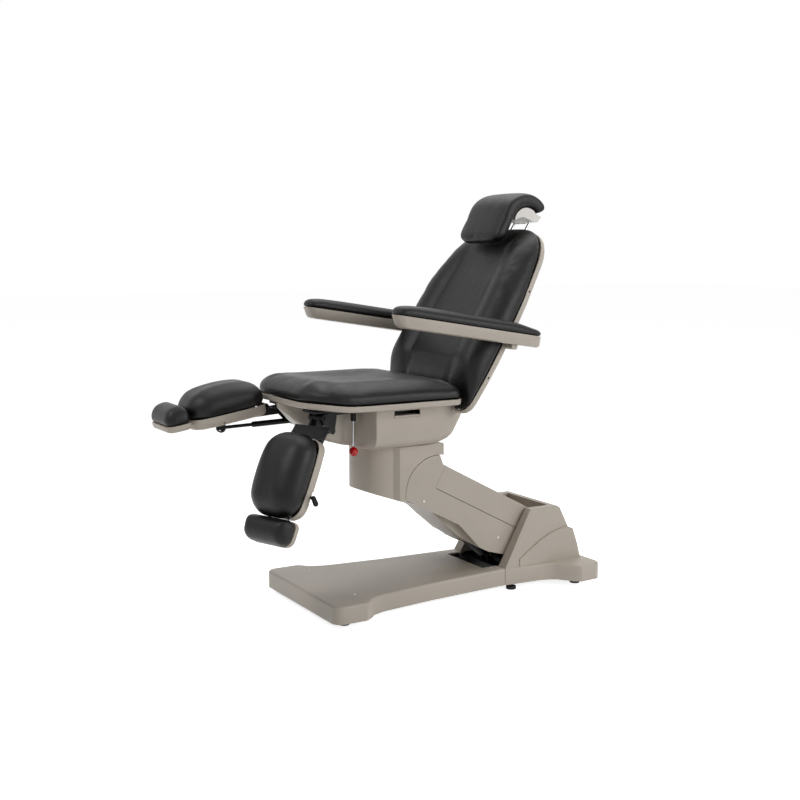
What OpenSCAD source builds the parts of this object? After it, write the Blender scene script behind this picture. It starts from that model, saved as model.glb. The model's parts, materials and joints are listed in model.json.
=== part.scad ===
// Podiatry chair: a lifting, swivelling treatment chair with two separate leg rests.
// Frame: the origin is the middle of the base's footprint on the floor, +Z is up,
// the patient faces -Y and the patient's left is +X. All lengths are millimetres.

/* [Base] */
// Length of the base
base_len = 1140; // [1080:2:1200]
// Width of the base at its four corners
base_w = 560; // [540:2:620]
// Height of the base cover's flat top
base_top = 88; // [84:1:96]
// Clear height under the base covers
ground_gap = 25; // [22:1:30]
// Place of the seam between the front and rear covers
seam_y = 195; // [190:1:205]
// Wall of the moulded covers
cover_wall = 4; // [3:0.5:5]
// Rounding of the covers' upper edge
edge_round = 9; // [6:1:12]
// Corner radius of the base in plan
base_corner = 34; // [26:1:46]
// Diameter of a levelling foot
foot_dia = 38; // [34:1:42]

/* [Tower] */
// Height of the tower's flat top
tower_top = 296; // [290:1:304]
// Width of the tower at its foot
tower_w = 346; // [340:1:350]
// Width of the tower at its top
tower_top_w = 320; // [316:1:326]
// Front end of the flat top
tower_front = 314; // [308:1:320]
// Rear end of the flat top
tower_rear = 456; // [452:1:462]
// Height of the wide lower tier at its rear
tier_top = 212; // [200:1:220]
// Width that the lower tier adds on each side
tier_step = 7; // [5:0.5:9]
// Clearance between the tower's slot and the arm covers
slot_gap = 6; // [5:0.5:8]

/* [Lift arm] */
// Place of the lower pivot along the base
lift_y = 330; // [326:1:334]
// Height of the lower pivot
lift_z = 187; // [185:1:192]
// Distance between the arm's two pivots
arm_len = 452; // [446:1:458]
// Angle of the arm above the horizontal
arm_angle = 27.8; // [26:0.1:29.4]
// Width over the arm covers
arm_w = 244; // [240:1:246]
// Height of the arm cover above the line of its pivots
arm_above = 98; // [94:1:100]
// Radius of the cover's disc round the upper pivot
disc_r = 134; // [130:1:136]
// Radius of the cover round the lower pivot
heel_r = 86; // [80:1:90]
// Diameter of the main pivot pins
pivot_dia = 25; // [20:1:28]
// Drop of the parallel link below the arm's pivots
link_drop = 50; // [48:1:54]

/* [Column head] */
// Distance of the swivel axis behind the origin (negative is in front)
swivel_y = -190; // [-194:1:-186]
// Top of the column cover
column_top = 574; // [572:0.5:575]
// Lowest point of the column cover
column_low = 378; // [372:1:384]
// Front end of the column's nose
nose_y = -352; // [-358:1:-346]
// Rear face of the column cover
column_rear = -45; // [-48:1:-42]
// Diameter of the swivel shaft
swivel_dia = 60; // [50:1:66]

/* [Seat] */
// Width of the seat
seat_w = 560; // [550:2:576]
// Front end of the seat
seat_front = -640; // [-642:1:-636]
// Rear end of the seat
seat_rear = -60; // [-64:1:-58]
// Height of the seat shell's underside
seat_under = 732; // [731:0.5:734]
// Thickness of the seat shell's rim
rim_h = 20; // [18:1:22]
// Rise of the rim at the front end
front_rise = 13; // [8:1:16]
// Corner radius at the front
seat_corner = 140; // [135:1:146]
// Height of the cushion over the rim
seat_pad_h = 66; // [60:1:72]
// Width of the housing under the seat
hull_w = 380; // [372:2:386]
// Height of the housing's underside
hull_low = 580; // [578:0.5:582]

/* [Backrest] */
// Place of the back hinge along the seat
back_y = -38; // [-39:0.5:-35]
// Height of the back hinge
back_z = 722; // [720:1:725]
// Angle of the back above the horizontal
back_angle = 57.6; // [54:0.2:60]
// Length of the backrest
back_len = 716; // [700:2:726]
// Greatest width of the backrest
back_w = 566; // [560:2:572]
// Thickness of the back shell
back_shell_t = 25; // [23:1:28]
// Height of the back cushion's bolsters over the shell
back_pad_h = 92; // [84:1:96]

/* [Headrest] */
// Width of the headrest
head_w = 260; // [240:2:280]
// Outer radius of the curved cushion
head_r = 104; // [98:1:106]
// Thickness of the curved cushion
head_t = 50; // [46:1:54]
// Diameter of the two rods
rod_dia = 10; // [9:0.5:12]

/* [Armrests] */
// Distance of the armrest's inner face from the middle
arm_in = 290; // [288:1:294]
// Width of an armrest
armrest_w = 74; // [66:1:80]
// Length of an armrest
armrest_len = 596; // [570:2:610]
// Slope of the armrest, up towards its front
armrest_angle = 9; // [6:0.5:11]
// Height of the armrest's shell
armrest_h = 40; // [36:1:42]

/* [Leg rests] */
// Distance of a leg's swing pivot from the middle
leg_x = 135; // [132:1:138]
// Place of the swing pivot along the seat
leg_y = -525; // [-527:1:-523]
// Distance from the swing pivot to the tilt hinge
hinge_reach = 40; // [38:1:42]
// Height of the tilt hinge
hinge_z = 706; // [704:1:708]
// How far the left leg is swung out
left_swing = 20; // [0:1:25]
// How far the left leg hangs below the horizontal
left_drop = 64; // [0:1:70]
// How far the right leg is swung out
right_swing = 0; // [0:1:20]
// How far the right leg hangs below the horizontal
right_drop = 9; // [0:1:60]
// Width of a leg rest
leg_w = 190; // [180:2:196]
// Distance from the hinge to the leg cushion
leg_start = 84; // [84:1:88]
// Distance from the hinge to the end of the leg cushion
leg_end = 358; // [350:2:370]
// Height of the leg shell's rim over the hinge
leg_rim = 46; // [44:1:48]
// Depth of the leg shell
leg_shell_h = 36; // [34:1:38]
// Height of the leg cushion over its shell
leg_pad_h = 82; // [60:1:88]
// Length of the foot piece
foot_len = 86; // [76:2:96]

/* [Hidden] */
$fn = 48;

// Colours
shell_grey = "#b8b3a7";
leather_black = "#2b2a2b";
frame_black = "#26282b";
steel_grey = "#8f9296";
bright_steel = "#c9ccd0";
rubber_black = "#171718";
ball_red = "#c01722";
plate_white = "#e6e4df";

// Clearances: of a pin in its bore, under a face that rests, beside a moving piece
fit = 0.05;
rest_gap = 0.3;
run_gap = 2;
// One overrun for all cuts
over = 1;

// Base values
foot_h = 12;
stem_dia = 12;
rail_w = 50;
rail_h = 40;
rail_x = 122;
rail_low = 32;
cross_w = 50;
cross_y = 500;
cross_half = 232;
corner_foot_x = 205;
mid_foot_x = 150;
mid_foot_y = 240;
plate_in = 136;
plate_t = 12;
screw_dia = 9;
screw_h = 2.5;
seam_gap = 1.2;
tower_foot_y = 548;
tier_front = 262;
slot_rear = 424;
slot_floor_y = 452;
pit_front = 130;
pit_half = 118;
motor_y = 250;
motor_z = 95;
motor_x = -25;
link_x = 50;
link_t = 24;
pin_small = 12;
// Half width of the base along its length, as shares
base_plan_shares = [
  [-1, 1], [-0.79, 1], [-0.70, 0.85], [-0.62, 0.79], [-0.25, 0.70], [0.35, 0.625],
  [0.62, 0.67], [0.68, 0.71], [0.83, 1], [1, 1]
];

// Arm values: origin at the lower pivot, Y along the arm
arm_plate_x = 96;
arm_plate_t = 10;
arm_plate_h = 62;
arm_seam = 8;
arm_seam_gap = 1.6;
window_half = 84;
lug_in = 66;
lug_t = 12;
lug_r = 14;
pin_head = 4;
arm_tube_dia = 30;
motor_arm_a = 400;
motor_arm_b = -40;
eye_play = 8;
motor_pin = 10;
motor_dia = 50;
motor_rod_dia = 22;
motor_body = 236;
clevis_t = 8;

// Seat values
grip_y = -240;
grip_half = 52;
grip_low = 690;
grip_h = 25;
paddle_x = 156;
paddle_z = 695;
paddle_rod = 6;
button_y = -44;
button_z = 702;
button_dia = 15;
shell_wall = 4;
hub_z = 592;
hub_r = 92;
hub_t = 12;
socket_low = column_low + 62;
socket_top = column_top - 4;
shaft_low = column_low + 84;
pedestal_r = 48;
beam_x = 120;
beam_w = 40;
beam_h = 37;
hull_rear = -8;
mount_t = 8;
mount_in = 90;
mount_out = 178;
mount_rear = -318;
mount_front = -592;
index_r = 112;
index_turn = 12;
swing_span = 25;
index_pin = 9;
slot_play = 1.2;
bracket_pin = 20;
lever_drop = 95;

// Back values: origin at the hinge, Y up the back, Z out of its front
back_rail_x = 144;
back_rail_w = 40;
back_rail_t = 16;
hinge_pin = 16;
hinge_lug_x = 178;
hinge_lug_t = 12;
rod_x = 45;
rod_n = -10;
rod_low = back_len * 0.7;
head_pivot_d = back_len * 1.096;
armrest_d = 254;
armrest_n = -10;
armrest_pin = 12;
back_motor_x = 74;
back_motor_y = -336;
back_lever_r = 54;
back_lever_fall = 61;
back_motor_z = back_z - back_lever_r * sin(back_lever_fall);
back_motor_dia = 36;
back_rod_dia = 18;
back_rod_len = 200;
back_foot = -24;
back_pad_foot = -20;
armrest_low = 6;

// Leg values: origin at the tilt hinge, Y along the leg, Z out of its top
ear_in = 24;
ear_t = 8;
hub_dia = 30;
leg_hinge_pin = 14;
strut_back = 38;
strut_drop = 45;
strut_d = 235;
strut_n = -15;
strut_pin = 10;
strut_dia = 20;
strut_rod_dia = 12;
sleeve_len = 150;
strut_rod_len = 150;
foot_rod_dia = 12;
foot_rod_x = 45;
foot_rod_n = 34;
guide_dia = 18;
leg_wall = 3;
leg_corner = 46;
foot_gap = 6;
foot_shell_h = 22;
lever_d = 272;
lever_n = 20;
lever_dia = 10;
notch_half = 22;
knob_ball = 32;
knob_z = 575;

// Gives the value between a and b at the share t
function blend(a, b, t) = a + (b - a) * t;

// A soft step from 0 to 1
function ease(t) = (1 - cos(180 * max(0, min(1, t)))) / 2;

// Reads a table of [place, value] at x, with soft steps between its rows
function soft_read(table, x, i = 0) =
  i >= len(table) - 2 || x <= table[i + 1][0]
  ? blend(table[i][1], table[i + 1][1], ease((x - table[i][0]) / (table[i + 1][0] - table[i][0])))
  : soft_read(table, x, i + 1);

// The same in straight steps
function read(table, x, i = 0) =
  i >= len(table) - 2 || x <= table[i + 1][0]
  ? blend(table[i][1], table[i + 1][1], (x - table[i][0]) / (table[i + 1][0] - table[i][0]))
  : read(table, x, i + 1);

// Points of an arc about a centre
function arc(centre, r, from, to, steps = 12) =
  [for (i = [0:steps]) centre + r * [cos(blend(from, to, i / steps)), sin(blend(from, to, i / steps))]];

// Turns a point about the origin of the plane
function turned(p, angle) = [p.x * cos(angle) - p.y * sin(angle), p.x * sin(angle) + p.y * cos(angle)];

// Closes a stack of equal rings into a solid, with a fan at each end
module skin(rings) {
  n = len(rings[0]);
  last = len(rings) - 1;
  middles = [for (ring = [rings[0], rings[last]]) [for (k = [0:2]) mean([for (p = ring) p[k]])]];
  points = concat([for (ring = rings) each ring], middles);
  walls = [
    for (r = [0:last - 1], i = [0:n - 1])
    let (a = r * n + i, b = r * n + (i + 1) % n)
    each [[a, a + n, b + n], [a, b + n, b]]
  ];
  ends = [
    for (i = [0:n - 1])
    let (j = (i + 1) % n)
    each [[len(points) - 2, i, j], [len(points) - 1, last * n + j, last * n + i]]
  ];
  polyhedron(points, concat(walls, ends));
}

function mean(v) = (v * [for (x = v) 1]) / len(v);

// Outline of a board with rounded corners, from y0 to y1, counter-clockwise.
// half is a table of [share of the length, half width].
function board(y0, y1, r0, r1, half, inset = 0, corner = 5, side = 5, end = 4) =
  let (
    len_y = y1 - y0,
    a0 = max(r0 - inset, r0 / 4),
    a1 = max(r1 - inset, r1 / 4),
    lo = y0 + inset,
    hi = y1 - inset,
    rows = concat(
      [for (k = [0:corner]) [lo + a0 * (1 - cos(90 * k / corner)), a0 * (1 - sin(90 * k / corner))]],
      [for (k = [1:side - 1]) [blend(lo + a0, hi - a1, k / side), 0]],
      [for (k = [corner:-1:0]) [hi - a1 * (1 - cos(90 * k / corner)), a1 * (1 - sin(90 * k / corner))]]
    ),
    right = [for (row = rows) [read(half, (row.x - y0) / len_y) - inset - row.y, row.x]],
    front = right[0].x,
    rear = right[len(right) - 1].x
  )
  concat(
    right,
    [for (k = [1:end - 1]) [blend(rear, -rear, k / end), hi]],
    [for (k = [len(right) - 1:-1:0]) [-right[k].x, right[k].y]],
    [for (k = [1:end - 1]) [blend(-front, front, k / end), lo]]
  );

// Lifts an outline to a height
function lifted(outline, z) = [for (p = outline) [p.x, p.y, z]];

// Places children across the object: a profile drawn in Y and Z becomes a slab centred on X
module across(width) {
  rotate([90, 0, 90])
    linear_extrude(width, center = true)
      children();
}

// A round bar along X, centred on x
module bar_x(x, y, z, dia, length) {
  translate([x, y, z])
    rotate([0, 90, 0])
      cylinder(d = dia, h = length, center = true);
}

// A box given by its lower and upper corners
module box(low, high) {
  translate(low)
    cube(high - low);
}

// A box on one side of the middle, given by its corners on the left
module side_box(side, low, high) {
  mirror([side < 0 ? 1 : 0, 0, 0])
    box(low, high);
}

// A flat link in Y and Z with round ends
module link_profile(p, q, rp, rq) {
  along = atan2(q.y - p.y, q.x - p.x);
  spread = acos((rp - rq) / norm(q - p));
  polygon(concat(
    arc(p, rp, along + spread, along + 360 - spread, 16),
    arc(q, rq, along - spread, along + spread, 16)
  ));
}

module on_arm() {
  translate([0, lift_y, lift_z])
    rotate([0, 0, 180])
      rotate([arm_angle, 0, 0])
        children();
}

module on_back() {
  translate([0, back_y, back_z])
    rotate([back_angle, 0, 0])
      children();
}

module on_swing(side) {
  translate([side * leg_x, leg_y, 0])
    rotate([0, 0, 180 + side * (side > 0 ? left_swing : right_swing)])
      children();
}

module on_leg(side) {
  on_swing(side)
    translate([0, hinge_reach, hinge_z])
      rotate([-(side > 0 ? left_drop : right_drop), 0, 0])
        children();
}

// Places worked out from the sizes above
half_len = base_len / 2;
half_w = base_w / 2;
upper_y = lift_y - arm_len * cos(arm_angle);
upper_z = lift_z + arm_len * sin(arm_angle);
slot_half = arm_w / 2 + slot_gap;
rail_top = rail_low + rail_h;
shell_top = seat_under + rim_h;
beam_top = seat_under - rest_gap;
mount_top = seat_under - rest_gap;
mount_low = mount_top - mount_t;

// Half width of the base at y
function base_half(y, inset = 0) =
  let (
    e = half_len - inset - abs(y),
    r = base_corner - inset,
    cut = e < r ? r - sqrt(max(0, r * r - (r - e) * (r - e))) : 0
  )
  soft_read(base_plan_shares, y / half_len) * half_w - inset - cut;

// Outline of the base between two places along it
function base_outline(from, to, inset = 0) =
  let (
    limit = half_len - inset,
    corner = base_corner - inset,
    low = max(from, -limit),
    high = min(to, limit),
    ys = [
      for (y = concat(
        [for (k = [0:5]) -limit + corner * (1 - cos(18 * k))],
        [for (s = [-0.79, -0.76, -0.73, -0.70, -0.62, -0.25, 0.1, 0.35, 0.5, 0.62, 0.68,
               0.72, 0.755, 0.79, 0.83]) s * half_len],
        [for (k = [5:-1:0]) limit - corner * (1 - cos(18 * k))]
      ))
      if (y > low + over / 4 && y < high - over / 4) y
    ],
    all = concat([low], ys, [high]),
    right = [for (y = all) [base_half(y, inset), y]]
  )
  concat(right, [for (k = [len(right) - 1:-1:0]) [-right[k].x, right[k].y]]);

// The base cover's solid, with its upper edge rounded
module base_block(from, to) {
  skin(concat(
    [lifted(base_outline(from, to), ground_gap)],
    [
      for (k = [0:3])
      lifted(base_outline(from, to, edge_round * (1 - cos(30 * k))), base_top - edge_round * (1 - sin(30 * k)))
    ]
  ));
}

module chassis_frame() {
  color(frame_black)
    difference() {
      union() {
        for (side = [-1, 1]) {
          box([side * rail_x - rail_w / 2, -cross_y, rail_low], [side * rail_x + rail_w / 2, cross_y, rail_top]);
          tower_plate(side);
        }
        for (y = [-cross_y, cross_y])
          box([-cross_half, y - cross_w / 2, rail_low], [cross_half, y + cross_w / 2, rail_top]);
        box([-rail_x, mid_foot_y - cross_w / 2, rail_low], [rail_x, mid_foot_y + cross_w / 2, rail_top]);
        box([-rail_x, lift_y - cross_w / 2, rail_low], [rail_x, lift_y + cross_w / 2, rail_top]);
        for (x = [link_x - link_t / 2 - run_gap - clevis_t / 2, link_x + link_t / 2 + run_gap + clevis_t / 2])
          base_lug(x, lift_y, lift_z - link_drop, rail_top - over);
        for (s = [-1, 1])
          base_lug(motor_x + s * (motor_rod_dia / 2 + run_gap + clevis_t / 2 + motor_pin / 2), motor_y, motor_z, rail_low);
      }
      bar_x(0, lift_y, lift_z, pivot_dia + 2 * fit, base_w);
      bar_x(link_x, lift_y, lift_z - link_drop, pin_small + 2 * fit, link_t * 4);
      bar_x(motor_x, motor_y, motor_z, motor_pin + 2 * fit, motor_dia * 2);
      for (x = [-corner_foot_x, corner_foot_x], y = [-cross_y, cross_y])
        foot_bore(x, y);
      for (x = [-mid_foot_x, mid_foot_x])
        foot_bore(x, mid_foot_y);
      for (side = [-1, 1])
        rail_bore(side);
    }
}

// The rails are tubes
module rail_bore(side) {
  wall = rail_h / 10;
  box(
    [side * rail_x - rail_w / 2 + wall, -cross_y - cross_w / 2 - over, rail_low + wall],
    [side * rail_x + rail_w / 2 - wall, -mid_foot_y, rail_top - wall]
  );
}

module foot_bore(x, y) {
  translate([x, y, rail_low - over])
    cylinder(d = stem_dia + 2 * fit, h = rail_h + 2 * over);
}

module tower_plate(side) {
  low = rail_low + rail_h / 2;
  rise = 40;
  translate([side * (plate_in + plate_t / 2), 0, 0])
    across(plate_t)
      polygon(concat(
        [[lift_y - cross_w * 2, low], [lift_y + cross_w * 2, low], [lift_y + cross_w * 2, low + cross_w]],
        arc([lift_y, lift_z], rise, 20, 160, 14),
        [[lift_y - cross_w * 2, low + cross_w]]
      ));
  side_box(side, [rail_x, lift_y - cross_w * 2, low], [plate_in + plate_t, lift_y + cross_w * 2, rail_top]);
}

// A lug with a round top at y and z
module base_lug(x, y, z, low) {
  translate([x, 0, 0])
    across(clevis_t)
      polygon(concat([[y - lug_r, low], [y + lug_r, low]], arc([y, z], lug_r, 0, 180)));
}

module front_cover() {
  color(shell_grey)
    difference() {
      base_block(-half_len, seam_y - seam_gap / 2);
      translate([0, 0, ground_gap - over])
        linear_extrude(base_top - cover_wall - ground_gap + over)
          polygon(base_outline(-half_len, seam_y - cover_wall, cover_wall));
      box([-pit_half, seam_y - cover_wall - over, ground_gap - over], [pit_half, seam_y + over, base_top + over]);
      box([-pit_half, pit_front, base_top - cover_wall - over], [pit_half, seam_y + over, base_top + over]);
      box([-mid_foot_x, seam_y - cover_wall - over, ground_gap - over], [mid_foot_x, seam_y + over, rail_top + rest_gap]);
    }
}

// The tower's profile in Y and Z, drawn in by a wall
function tower_profile(inset = 0) = [
  [seam_y + 2 * seam_gap + inset, ground_gap],
  [seam_y + 2 * seam_gap + inset, base_top],
  [tower_front + inset * 0.6, tower_top - edge_round * 0.8 - inset],
  [tower_front + edge_round * 0.8 + inset, tower_top - inset],
  [tower_rear - edge_round - inset, tower_top - inset],
  [tower_rear + edge_round * 0.3 - inset, tower_top - edge_round - inset],
  [tower_rear + (tower_foot_y - tower_rear) * 0.42 - inset, tier_top],
  [tower_foot_y - inset, base_top],
  [tower_foot_y - inset, ground_gap]
];

// The wide lower tier: its upper edge is an arc that rises to the rear
function tier_profile(inset = 0) = concat(
  [[tower_foot_y - inset, ground_gap], [tier_front + inset, ground_gap], [tier_front + inset, base_top]],
  [
    for (k = [0:7])
    let (t = k / 7)
    [
      blend(tier_front + inset, tower_rear + edge_round * 4, t),
      blend(base_top + edge_round * 3, tier_top, sin(90 * t)) - inset
    ]
  ],
  [
    [tower_rear + (tower_foot_y - tower_rear) * 0.62 - inset, tier_top - edge_round - inset],
    [tower_rear + (tower_foot_y - tower_rear) * 0.86 - inset, blend(base_top, tier_top, 0.42)],
    [tower_foot_y - inset, base_top]
  ]
);

// A block with a side profile that narrows towards its top
module drafted(low_w, high_w, low_z, high_z) {
  intersection() {
    across(low_w)
      children();
    rotate([90, 0, 0])
      linear_extrude(base_len, center = true)
        polygon([
          [-low_w / 2, ground_gap], [low_w / 2, ground_gap], [low_w / 2, low_z],
          [high_w / 2, high_z], [-high_w / 2, high_z], [-low_w / 2, low_z]
        ]);
  }
}

module rear_cover() {
  tier_w = tower_w + 2 * tier_step * 0.4;
  tier_top_w = blend(tower_w, tower_top_w, 0.55) + 2 * tier_step;
  color(shell_grey)
    difference() {
      union() {
        base_block(seam_y + seam_gap / 2, half_len);
        drafted(tower_w, tower_top_w, base_top, tower_top)
          polygon(tower_profile());
        drafted(tier_w, tier_top_w, base_top, tier_top)
          polygon(tier_profile());
      }
      // The hollow under the base part, open at the seam
      for (h = [[half_len, rail_top + rest_gap], [cross_y - cross_w, base_top - cover_wall]])
        translate([0, 0, ground_gap - over])
          linear_extrude(h[1] - ground_gap + over)
            polygon(base_outline(seam_y - over, h[0], cover_wall));
      // The hollows in the tower's side walls
      for (side = [-1, 1])
        intersection() {
          drafted(tower_w - 2 * cover_wall, tower_top_w - 2 * cover_wall, base_top, tower_top)
            polygon(tower_profile(cover_wall));
          side_box(
            side, [slot_half + cover_wall, seam_y, ground_gap - over],
            [tower_w / 2, tower_foot_y, tower_top]
          );
        }
      // The slot that the arm moves in
      across(2 * slot_half)
        polygon([
          [seam_y - over, ground_gap - over], [seam_y - over, tower_top + over],
          [slot_rear, tower_top + over], [slot_floor_y, base_top], [slot_floor_y, ground_gap - over]
        ]);
      bar_x(0, lift_y, lift_z, pivot_dia + 4 * run_gap, 2 * plate_in);
    }
}

module levelling_feet() {
  color(rubber_black)
    for (p = [
      [-corner_foot_x, -cross_y], [corner_foot_x, -cross_y], [-corner_foot_x, cross_y],
      [corner_foot_x, cross_y], [-mid_foot_x, mid_foot_y], [mid_foot_x, mid_foot_y]
    ])
      translate([p.x, p.y, 0])
        rotate_extrude()
          polygon([
            [0, 0], [foot_dia / 2 - over, 0], [foot_dia / 2, over], [foot_dia / 2, foot_h - over],
            [foot_dia / 2 - over, foot_h], [stem_dia, foot_h + over * 2], [stem_dia / 2, foot_h + over * 3],
            [stem_dia / 2, rail_top], [0, rail_top]
          ]);
}

module cover_screws() {
  color(steel_grey)
    for (p = [[0.62, -0.775], [-0.62, -0.775], [0.47, 0.28], [-0.47, 0.28], [0.72, 0.94], [-0.72, 0.94]])
      translate([p.x * half_w, p.y * half_len, base_top])
        cylinder(d1 = screw_dia, d2 = screw_dia * 0.7, h = screw_h, $fn = 24);
}

module lift_pivot_pins() {
  color(bright_steel) {
    for (side = [-1, 1])
      bar_x(side * (arm_plate_x + plate_in + plate_t) / 2, lift_y, lift_z, pivot_dia, plate_in + plate_t - arm_plate_x + pin_head);
    bar_x(link_x, lift_y, lift_z - link_drop, pin_small, link_t + 2 * (run_gap + clevis_t));
    bar_x(motor_x, motor_y, motor_z, motor_pin, motor_rod_dia + motor_pin + 2 * (run_gap + clevis_t));
  }
}

// Side profile of the whole arm cover in the arm's own frame, drawn in by a wall
function arm_profile(inset = 0) =
  let (
    up = [arm_len, 0],
    top = arm_above - inset,
    belly = -arm_above * 1.19 + inset,
    under = -arm_above * 0.76 + inset,
    r = disc_r - inset,
    heel = heel_r - inset
  )
  concat(
    arc([0, 0], heel, 250, 100, 14),
    [[heel_r * 0.3, top], [arm_len + arm_above * 0.27, top]],
    arc(up, r, 66, -asin(-under / r), 20),
    [[arm_len * 0.68, under], [arm_len * 0.40, belly], [arm_len * 0.30, belly]]
  );

// The belly between the side walls
function belly_profile(inset = 0) =
  let (under = -arm_above * 0.76 + inset, belly = -arm_above * 1.19 + inset)
  [
    [arm_len * 0.93, under + inset], [arm_len * 0.93, under], [arm_len * 0.8, under - arm_above * 0.16],
    [arm_len * 0.68, -arm_above * 1.04 + inset], [arm_len * 0.59, belly + arm_above * 0.05],
    [arm_len * 0.40, belly], [arm_len * 0.3, 0], [arm_len * 0.9, 0]
  ];

// The hollow cover of the whole arm
module arm_shell() {
  belly_half = arm_w / 2 * 0.74;
  difference() {
    union() {
      across(arm_w)
        polygon(arm_profile());
      across(2 * belly_half)
        polygon(belly_profile());
    }
    across(arm_w - 2 * cover_wall)
      polygon(arm_profile(cover_wall));
    across(2 * (belly_half - cover_wall))
      polygon(belly_profile(cover_wall));
    // The head's lugs reach in through the disc's round wall
    box([-window_half, arm_len + arm_above * 0.45, -disc_r], [window_half, arm_len + disc_r + over, disc_r]);
    // The actuator and the link come in through the open heel
    box([-window_half, -heel_r - over, -arm_above * 1.3], [window_half, arm_len * 0.42, -arm_above * 0.3]);
    bar_x(0, 0, 0, pivot_dia + 2 * run_gap, arm_w + over);
  }
}

module arm_weldment() {
  color(steel_grey)
    on_arm()
      difference() {
        union() {
          for (side = [-1, 1])
            translate([side * (arm_plate_x + arm_plate_t / 2), 0, 0])
              across(arm_plate_t)
                link_profile([0, 0], [arm_len, 0], arm_plate_h / 2, arm_plate_h / 2);
          for (a = [arm_len * 0.27, arm_len * 0.7])
            bar_x(0, a, 0, arm_tube_dia, arm_w - 2 * (cover_wall + rest_gap));
          for (s = [-1, 1])
            translate([s * (motor_rod_dia / 2 + run_gap + clevis_t / 2) - motor_x, 0, 0])
              across(clevis_t)
                link_profile([arm_len * 0.7, 0], [motor_arm_a, motor_arm_b], arm_tube_dia / 2 + over, motor_pin);
          bar_x(-motor_x, motor_arm_a, motor_arm_b, motor_pin, motor_rod_dia + 2 * (run_gap + clevis_t));
        }
        for (a = [0, arm_len])
          bar_x(0, a, 0, pivot_dia + 2 * fit, base_w);
      }
}

module arm_cover_upper() {
  color(shell_grey)
    on_arm()
      intersection() {
        arm_shell();
        box([-arm_w, -heel_r * 2, arm_seam + arm_seam_gap / 2], [arm_w, arm_len + disc_r * 0.12, disc_r * 2]);
      }
}

module arm_cover_lower() {
  color(shell_grey)
    on_arm()
      difference() {
        arm_shell();
        box(
          [-arm_w, -heel_r * 2, arm_seam - arm_seam_gap / 2],
          [arm_w, arm_len + disc_r * 0.12 + rest_gap, disc_r * 2]
        );
      }
}

module arm_screws() {
  color(bright_steel)
    on_arm()
      for (side = [-1, 1], p = [[0.27, -0.55], [1.09, -0.54]])
        translate([side * (arm_w / 2 + screw_h / 2), p.x * arm_len, p.y * arm_above])
          rotate([0, 90, 0])
            cylinder(d = screw_dia, h = screw_h, center = true, $fn = 24);
}

module parallel_link() {
  boss = 15;
  low = [lift_y, lift_z - link_drop];
  high = [upper_y, upper_z - link_drop];
  color(frame_black)
    difference() {
      union() {
        translate([link_x, 0, 0])
          across(link_t / 2)
            link_profile(low, high, pin_small, pin_small);
        for (p = [low, high])
          bar_x(link_x, p.x, p.y, 2 * boss, link_t);
      }
      for (p = [low, high])
        bar_x(link_x, p.x, p.y, pin_small + 2 * fit, link_t + 2 * over);
    }
}

// Where the lift actuator's rod meets the arm
motor_tip = [lift_y, lift_z] + [
  -motor_arm_a * cos(arm_angle) + motor_arm_b * sin(arm_angle),
  motor_arm_a * sin(arm_angle) + motor_arm_b * cos(arm_angle)
];
motor_span = norm(motor_tip - [motor_y, motor_z]);
motor_rise = atan2(motor_tip.y - motor_z, motor_y - motor_tip.x);

// A linear actuator's frame: origin at its foot pin, Y along its rod
module on_lift_motor() {
  translate([motor_x, motor_y, motor_z])
    rotate([0, 0, 180])
      rotate([motor_rise, 0, 0])
        children();
}

module along_y(dia, from, to) {
  translate([0, from, 0])
    rotate([-90, 0, 0])
      cylinder(d = dia, h = to - from);
}

module lift_motor() {
  eye = 24;
  color(frame_black)
    on_lift_motor()
      difference() {
        union() {
          bar_x(0, 0, 0, eye, motor_rod_dia + motor_pin - over);
          along_y(eye * 0.8, 0, eye * 1.2);
          along_y(motor_dia, eye, motor_body);
          along_y(motor_dia * 0.8, motor_body - over, motor_body + eye / 2);
        }
        bar_x(0, 0, 0, motor_pin + 2 * fit, motor_dia * 2);
        along_y(motor_rod_dia + 2 * rest_gap, eye * 2, motor_body + eye + over);
      }
}

module lift_motor_rod() {
  eye_bore = motor_pin + 2 * eye_play;
  color(bright_steel)
    on_lift_motor()
      difference() {
        union() {
          along_y(motor_rod_dia, motor_span - motor_body * 0.84, motor_span - eye_bore / 2);
          bar_x(0, motor_span, 0, eye_bore + motor_pin * 1.2, motor_rod_dia - over);
        }
        bar_x(0, motor_span, 0, eye_bore, motor_rod_dia + over);
      }
}

module head_frame() {
  column_r = 55;
  low = socket_low;
  color(steel_grey)
    difference() {
      union() {
        translate([0, swivel_y, low])
          cylinder(r = column_r, h = socket_top - low);
        box([-lug_in - lug_t, swivel_y - cross_w, low + column_r / 2], [lug_in + lug_t, swivel_y + cross_w * 0.8, low + column_r * 1.6]);
        bar_x(0, swivel_y - pivot_dia, low + column_r * 1.2, pivot_dia * 0.7, arm_w - 2 * (cover_wall + rest_gap));
        for (side = [-1, 1])
          translate([side * (lug_in + lug_t / 2), 0, 0])
            across(lug_t)
              polygon(concat(
                arc([upper_y, upper_z], pivot_dia * 1.3, -60, 60, 10),
                [
                  [swivel_y + cross_w * 0.8, low + column_r * 1.6],
                  [swivel_y - cross_w, low + column_r * 1.6],
                  [swivel_y - cross_w, low + column_r / 2]
                ],
                arc([upper_y, upper_z - link_drop], pin_small + over * 2, 180, 300, 10)
              ));
      }
      translate([0, swivel_y, low - over])
        cylinder(d = swivel_dia + 2 * fit, h = socket_top - low + 2 * over);
      bar_x(0, upper_y, upper_z, pivot_dia + 2 * fit, base_w);
      bar_x(0, upper_y, upper_z - link_drop, pin_small + 2 * fit, base_w);
    }
}

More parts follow.
